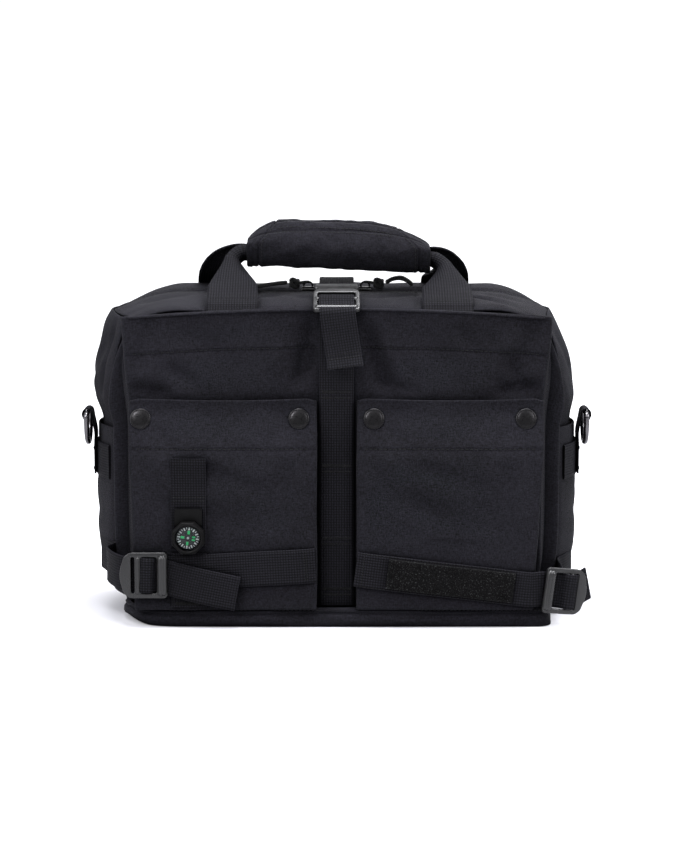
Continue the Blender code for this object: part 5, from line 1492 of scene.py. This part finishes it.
pile()
for v in (0.03, 0.97):
    q, n = sheet_path("pile_strip", [(0.01, v), (0.99, v)], 200)
    sew(q, n, pitch=2.6, length=1.8)
for v in (0.045, 0.955):
    for nm in ("lower_right",):
        q, n = sheet_path(nm, [(0.02, v), (0.62, v)], 200)
        sew(q, n, pitch=2.8, length=1.9, r=0.2)
q, n = sheet_path("lower_right", [(0.03, 0.08), (0.03, 0.92)], 50)
sew(q, n, pitch=1.8, length=1.3)

# ------------------------------------------------------------------ compass on its strap
LOW_Y = POCKET_Y - 1.1
lowp = [(COMPASS_X, LOW_Y - 0.7, z) for z in (14.8, 24, 34, 44, 54.4)]
web("compass_web_low", lowp, [(1, 0, 0)], 25.2, 1.2, replaces=("compass_webbing_lower",), shape=soft(61, 0.12))
upp = [(COMPASS_X, float(pocket_y(z)) - 1.5 - 1.8 * float(step(106, 122, z)), z) for z in (58.8, 70, 82, 94, 104, 113, 118, 122.4)]
web("compass_web_up", upp, [(1, 0, 0)], 25.2, 1.2, body="pocket_left", replaces=("compass_webbing_upper",),
    shape=lambda al, s, L: 0.8 * step(L - 24, L, al) * (-s / 12.6) + 0.2 * Lattice(62).fbm(al, s, 24, 2))
for u in (0.52, 0.56):
    q, n = sheet_path("compass_web_up", [(u, 0.05), (u, 0.95)], 40)
    sew(q, n, body="pocket_left", pitch=1.9, length=1.4)
bartack((COMPASS_X, LOW_Y - 1.5, 18.0), (1, 0, 0), (0, 0, 1), (0, -1, 0), 20.0)


def lathe(name, prof, loc, mat, body, replaces, n=64, sharp=35):
    P2 = []
    a = np.linspace(0, 2 * pi, n, endpoint=False)
    for r, h in prof:
        P2.append(np.stack([r * np.cos(a), np.full(n, -h), r * np.sin(a)], 1))
    V2 = np.concatenate(P2) + np.array(loc)
    F2 = []
    for j in range(len(prof) - 1):
        for m in range(n):
            m2 = (m + 1) % n
            F2.append([j * n + m, (j + 1) * n + m, (j + 1) * n + m2, j * n + m2])
    ob = make_mesh(name, V2, F2, mat, sharp=sharp)
    bm = bmesh.new()
    bm.from_mesh(ob.data)
    bmesh.ops.remove_doubles(bm, verts=bm.verts, dist=1e-6)
    bmesh.ops.recalc_face_normals(bm, faces=bm.faces)
    bm.to_mesh(ob.data)
    bm.free()
    return finish_piece(ob, body, replaces)


case_back = POCKET_Y - 2.2
dy = case_back - 5.2
lathe("dial_card", [(0.0, 1.75), (0.5, 1.72), (1.0, 1.3), (1.1, 0.95), (7.9, 0.9), (8.35, 0.8), (8.45, 0.5), (8.4, 0.1), (0.0, 0.1)],
      (COMPASS_X, dy, COMPASS_Z), M_DIAL, "compass_card", ("compass_dial",))
lathe("dial_pivot", [(0.0, 2.0), (0.5, 1.95), (0.8, 1.7), (0.85, 1.2), (0.0, 1.2)], (COMPASS_X, dy, COMPASS_Z), M_TICK,
      "compass_card", ())
lathe("case_rim", [(9.05, 8.7), (9.2, 9.35), (9.7, 9.6), (10.3, 9.45), (10.6, 8.9), (10.5, 8.2), (9.05, 8.2), (9.05, 8.7)],
      (COMPASS_X, case_back, COMPASS_Z), M_CASE, "pocket_left", ())
ln = lathe("lens_clear", [(0.0, 1.15), (2.5, 1.12), (5.0, 1.0), (7.0, 0.82), (8.5, 0.55), (8.62, 0.3), (8.6, 0.0), (0.0, 0.0)],
           (COMPASS_X, case_back - 7.7, COMPASS_Z), M_LENS, "pocket_left", ("compass_lens",), 64, 60)


def marks(name, specs, mat):
    """Small raised bars on the dial: (angle, inner radius, outer radius, half-width, sideways shift)."""
    base = np.array([(a, b, c) for a in (-1, 1) for b in (0, 1) for c in (-1, 1)], float)
    quads = [[0, 1, 3, 2], [4, 6, 7, 5], [0, 4, 5, 1], [2, 3, 7, 6], [0, 2, 6, 4], [1, 5, 7, 3]]
    Vs, Fs = [], []
    for ang, r0, r1, hw, sh in specs:
        a = math.radians(ang)
        rad, tn = np.array((math.sin(a), 0, math.cos(a))), np.array((math.cos(a), 0, -math.sin(a)))
        c = np.array((COMPASS_X, dy - 0.9, COMPASS_Z)) + rad * (r0 + r1) / 2 + tn * sh
        k = len(Vs) * 8
        Vs.append(c + base[:, 2:3] * rad * (r1 - r0) / 2 + base[:, 0:1] * tn * hw + base[:, 1:2] * np.array((0, -0.12, 0)))
        Fs += [[k + i for i in q] for q in quads]
    finish_piece(make_mesh(name, np.concatenate(Vs), Fs, mat, smooth=False), "compass_card", ())


marks("dial_ticks", [(a, 6.3 if (a - 8) % 30 else 5.6, 7.7, 0.26 if (a - 8) % 30 else 0.44, 0) for a in range(8, 368, 15)], M_TICK)
marks("dial_marks", [(8, 2.6, 5.2, 0.85, 0), (98, 2.8, 5.0, 0.60, -1.0), (98, 2.8, 5.0, 0.60, 1.0), (188, 2.8, 5.2, 0.75, 0),
                     (278, 2.6, 5.2, 0.85, 0)], M_GREEN)

# ------------------------------------------------------------------ sides
for side, s in (("left", -1), ("right", 1)):
    U, V = axes(56, 90)
    y = -31.0 + 82.0 * (U if s > 0 else 1 - U)
    z = Z0 + 1.0 + V * (138.0 - Z0 - 1.0)
    x = side_x(y, z) - 0.2 + 2.0 * bump1(z - 74, 38) * np.sin(pi * U) ** 0.5
    e = np.minimum(U, 1 - U)
    x = x - (x - (gusset_x(y, z) + 2.5)) * (1 - step(0, 0.05, e))
    x = x + (0.5 * N_SIDE.fbm(y + 70 * s, z, 30, 3)) * step(0, 0.1, e) * np.where(np.abs(z - 112) < 16, 0.3, 1)
    x = x + crease(y, z, (-20, 80), (30, 66), 7, -1.0) + crease(y, z, (30, 96), (44, 60), 6, -1.1)
    sheet("side_cloth_" + side, np.stack([s * x, y, z], 2), 1.2, M_FAB, replaces=("side_pocket_" + side,))
    ys = [-27, -14, -1, 12, 25, 38, 49]
    if s < 0:
        ys = ys[::-1]
    web("side_web_" + side, [(s * (sx60(yy, 112) + 1.5), yy, 112.5) for yy in ys], [(0, 0, 1)], 25.2, 1.4,
        replaces=("side_band_" + side,), out=(s, 0, 0), shape=soft(91, 0.2))
    xo = s * (sx60(2, 112) + 2.5)
    rx = s * 183.0
    loop = [(xo, 2, 101), (xo, 2, 110), (xo, 2, 122), (xo - s * 0.2, 2, 132), (rx - s * 3.6, 2, 142.5), (rx - s * 2.6, 2, 147.4),
            (rx, 2, 149.0), (rx + s * 2.6, 2, 147.4), (rx + s * 3.4, 2, 144.6), (rx + s * 2.2, 2, 141.2)]
    web("ring_web_" + side, loop, [(0, s, 0)], 19.0, 1.2, replaces=("ring_loop_" + side,), out=(s, 0, 0), gap=0.8)
    bartack((xo + s * 0.9, 2, 105.0), (0, 1, 0), (0, 0, 1), (s, 0, 0), 15.0)
    bartack((xo + s * 0.9, 2, 120.0), (0, 1, 0), (0, 0, 1), (s, 0, 0), 15.0)
    hw, ht = 13.4, 22.0
    ring = [(rx, 2 + hw * math.cos(pi * k / 60), 145.5 - 6.0 - (ht - 6.0) * math.sin(pi * k / 60)) for k in range(61)]
    ring = [(rx, 2 + hw, 145.5 - 1.8 - 0.7 * k) for k in range(6)] + ring
    ring += [(rx, 2 - hw, 145.5 - 5.3 + 0.7 * k) for k in range(6)]
    ring += [(rx, 2 - hw + 0.5, 145.5 - 0.6), (rx, 2 - hw + 1.4, 145.5)] + [(rx, yy, 145.5) for yy in np.arange(2 - hw + 2.4, 2 + hw - 1.6, 0.8)]
    ring += [(rx, 2 + hw - 1.2, 145.5), (rx, 2 + hw - 0.4, 145.5 - 0.7)]
    tube("ring_wire_" + side, ring, 2.0, M_RING, seg=20, body="ring_" + side, closed=True,
         replaces=("d_ring_" + side,))

# ------------------------------------------------------------------ zip sliders
for side, s in (("left", -1), ("right", 1)):
    sx = s * 21.0
    mt = Matrix.Translation(Vector((sx, ZIP_Y, 236.6)) * MM)
    o = rounded_poly([(-4.6, -2.6), (-2.0, -3.9), (3.2, -3.3), (4.7, -2.2), (4.7, 2.2), (3.2, 3.3), (-2.0, 3.9), (-4.6, 2.6)], 1.4)
    o = [(-s * x, y) for x, y in o]
    plate("slider_top_" + side, [o], 1.3, 0.4, mt, M_SLIDER, "zip_" + side, ("zip_slider_" + side,))
    plate("slider_low_" + side, [o], 1.0, 0.3, Matrix.Translation(Vector((sx, ZIP_Y, 234.9)) * MM), M_SLIDER, "zip_" + side, ())
    tube("slider_bail_" + side, [(sx - 3.2, ZIP_Y, 237.0), (sx - 3.0, ZIP_Y, 239.0), (sx - 1.4, ZIP_Y, 240.4), (sx + 1.4, ZIP_Y, 240.4),
                                 (sx + 3.0, ZIP_Y, 239.0), (sx + 3.2, ZIP_Y, 237.0)], 0.75, M_SLIDER, gap=0.5, seg=12,
         body="zip_" + side)

build_stitches()

# hidden and kept CAD pieces
NODES["base_board"].data.materials.clear()
NODES["base_board"].data.materials.append(plastic_material("board_grey", 0.05, 0.6))
for i in range(4):
    NODES["snap_stud_%d" % (i + 1)].data.materials.clear()
    NODES["snap_stud_%d" % (i + 1)].data.materials.append(M_SNAP)

# ------------------------------------------------------------------ floor
fm = Tree("floor_pale")
fn = fm.noise(fm.where(), 3.0, 2.0, 0.5)
fp = fm.t.nodes.new("ShaderNodeLightPath")
seen = fm.node("BsdfDiffuse", Color=fm.mix(fn, (0.37, 0.37, 0.39, 1), (0.39, 0.39, 0.41, 1)))
dark_side = fm.node("BsdfDiffuse", Color=(0.42, 0.42, 0.43, 1))
fd = fm.node("MixShader", i0=fp.outputs["Is Camera Ray"], i1=dark_side.outputs[0], i2=seen.outputs[0])
# painted glow and painted shadow: for camera rays the floor also emits light, almost none close around the bag and
# fully from about 16 cm off, so it reads white far off and darker around the bag like a contact shadow
fm_at = fm.node("VectorMath", p_operation="ADD", i0=fm.where(), i1=(0.0, 8.0, 0.0))
fm_oval = fm.node("VectorMath", p_operation="MULTIPLY", i0=fm_at.outputs[0], i1=(0.48, 1.0, 1.0))
fr = fm.node("VectorMath", p_operation="LENGTH", i0=fm_oval.outputs[0])
far = fm.range(fr.outputs["Value"], 0.070, 0.160, 0.0, 1.0)
painted_floor_glow = fm.math("MULTIPLY", fp.outputs["Is Camera Ray"], fm.math("ADD", 0.02, far))
fe = fm.node("Emission", Strength=painted_floor_glow)
fa = fm.t.nodes.new("ShaderNodeAddShader")
fm.put(fa.inputs[0], fd)
fm.put(fa.inputs[1], fe)
fm.t.links.new(fa.outputs[0], fm.out.inputs["Surface"])
bpy.ops.mesh.primitive_plane_add(size=30, location=(0, 8, -0.0002))
floor = bpy.context.object
floor.name = "floor"
floor.data.materials.append(fm.m)
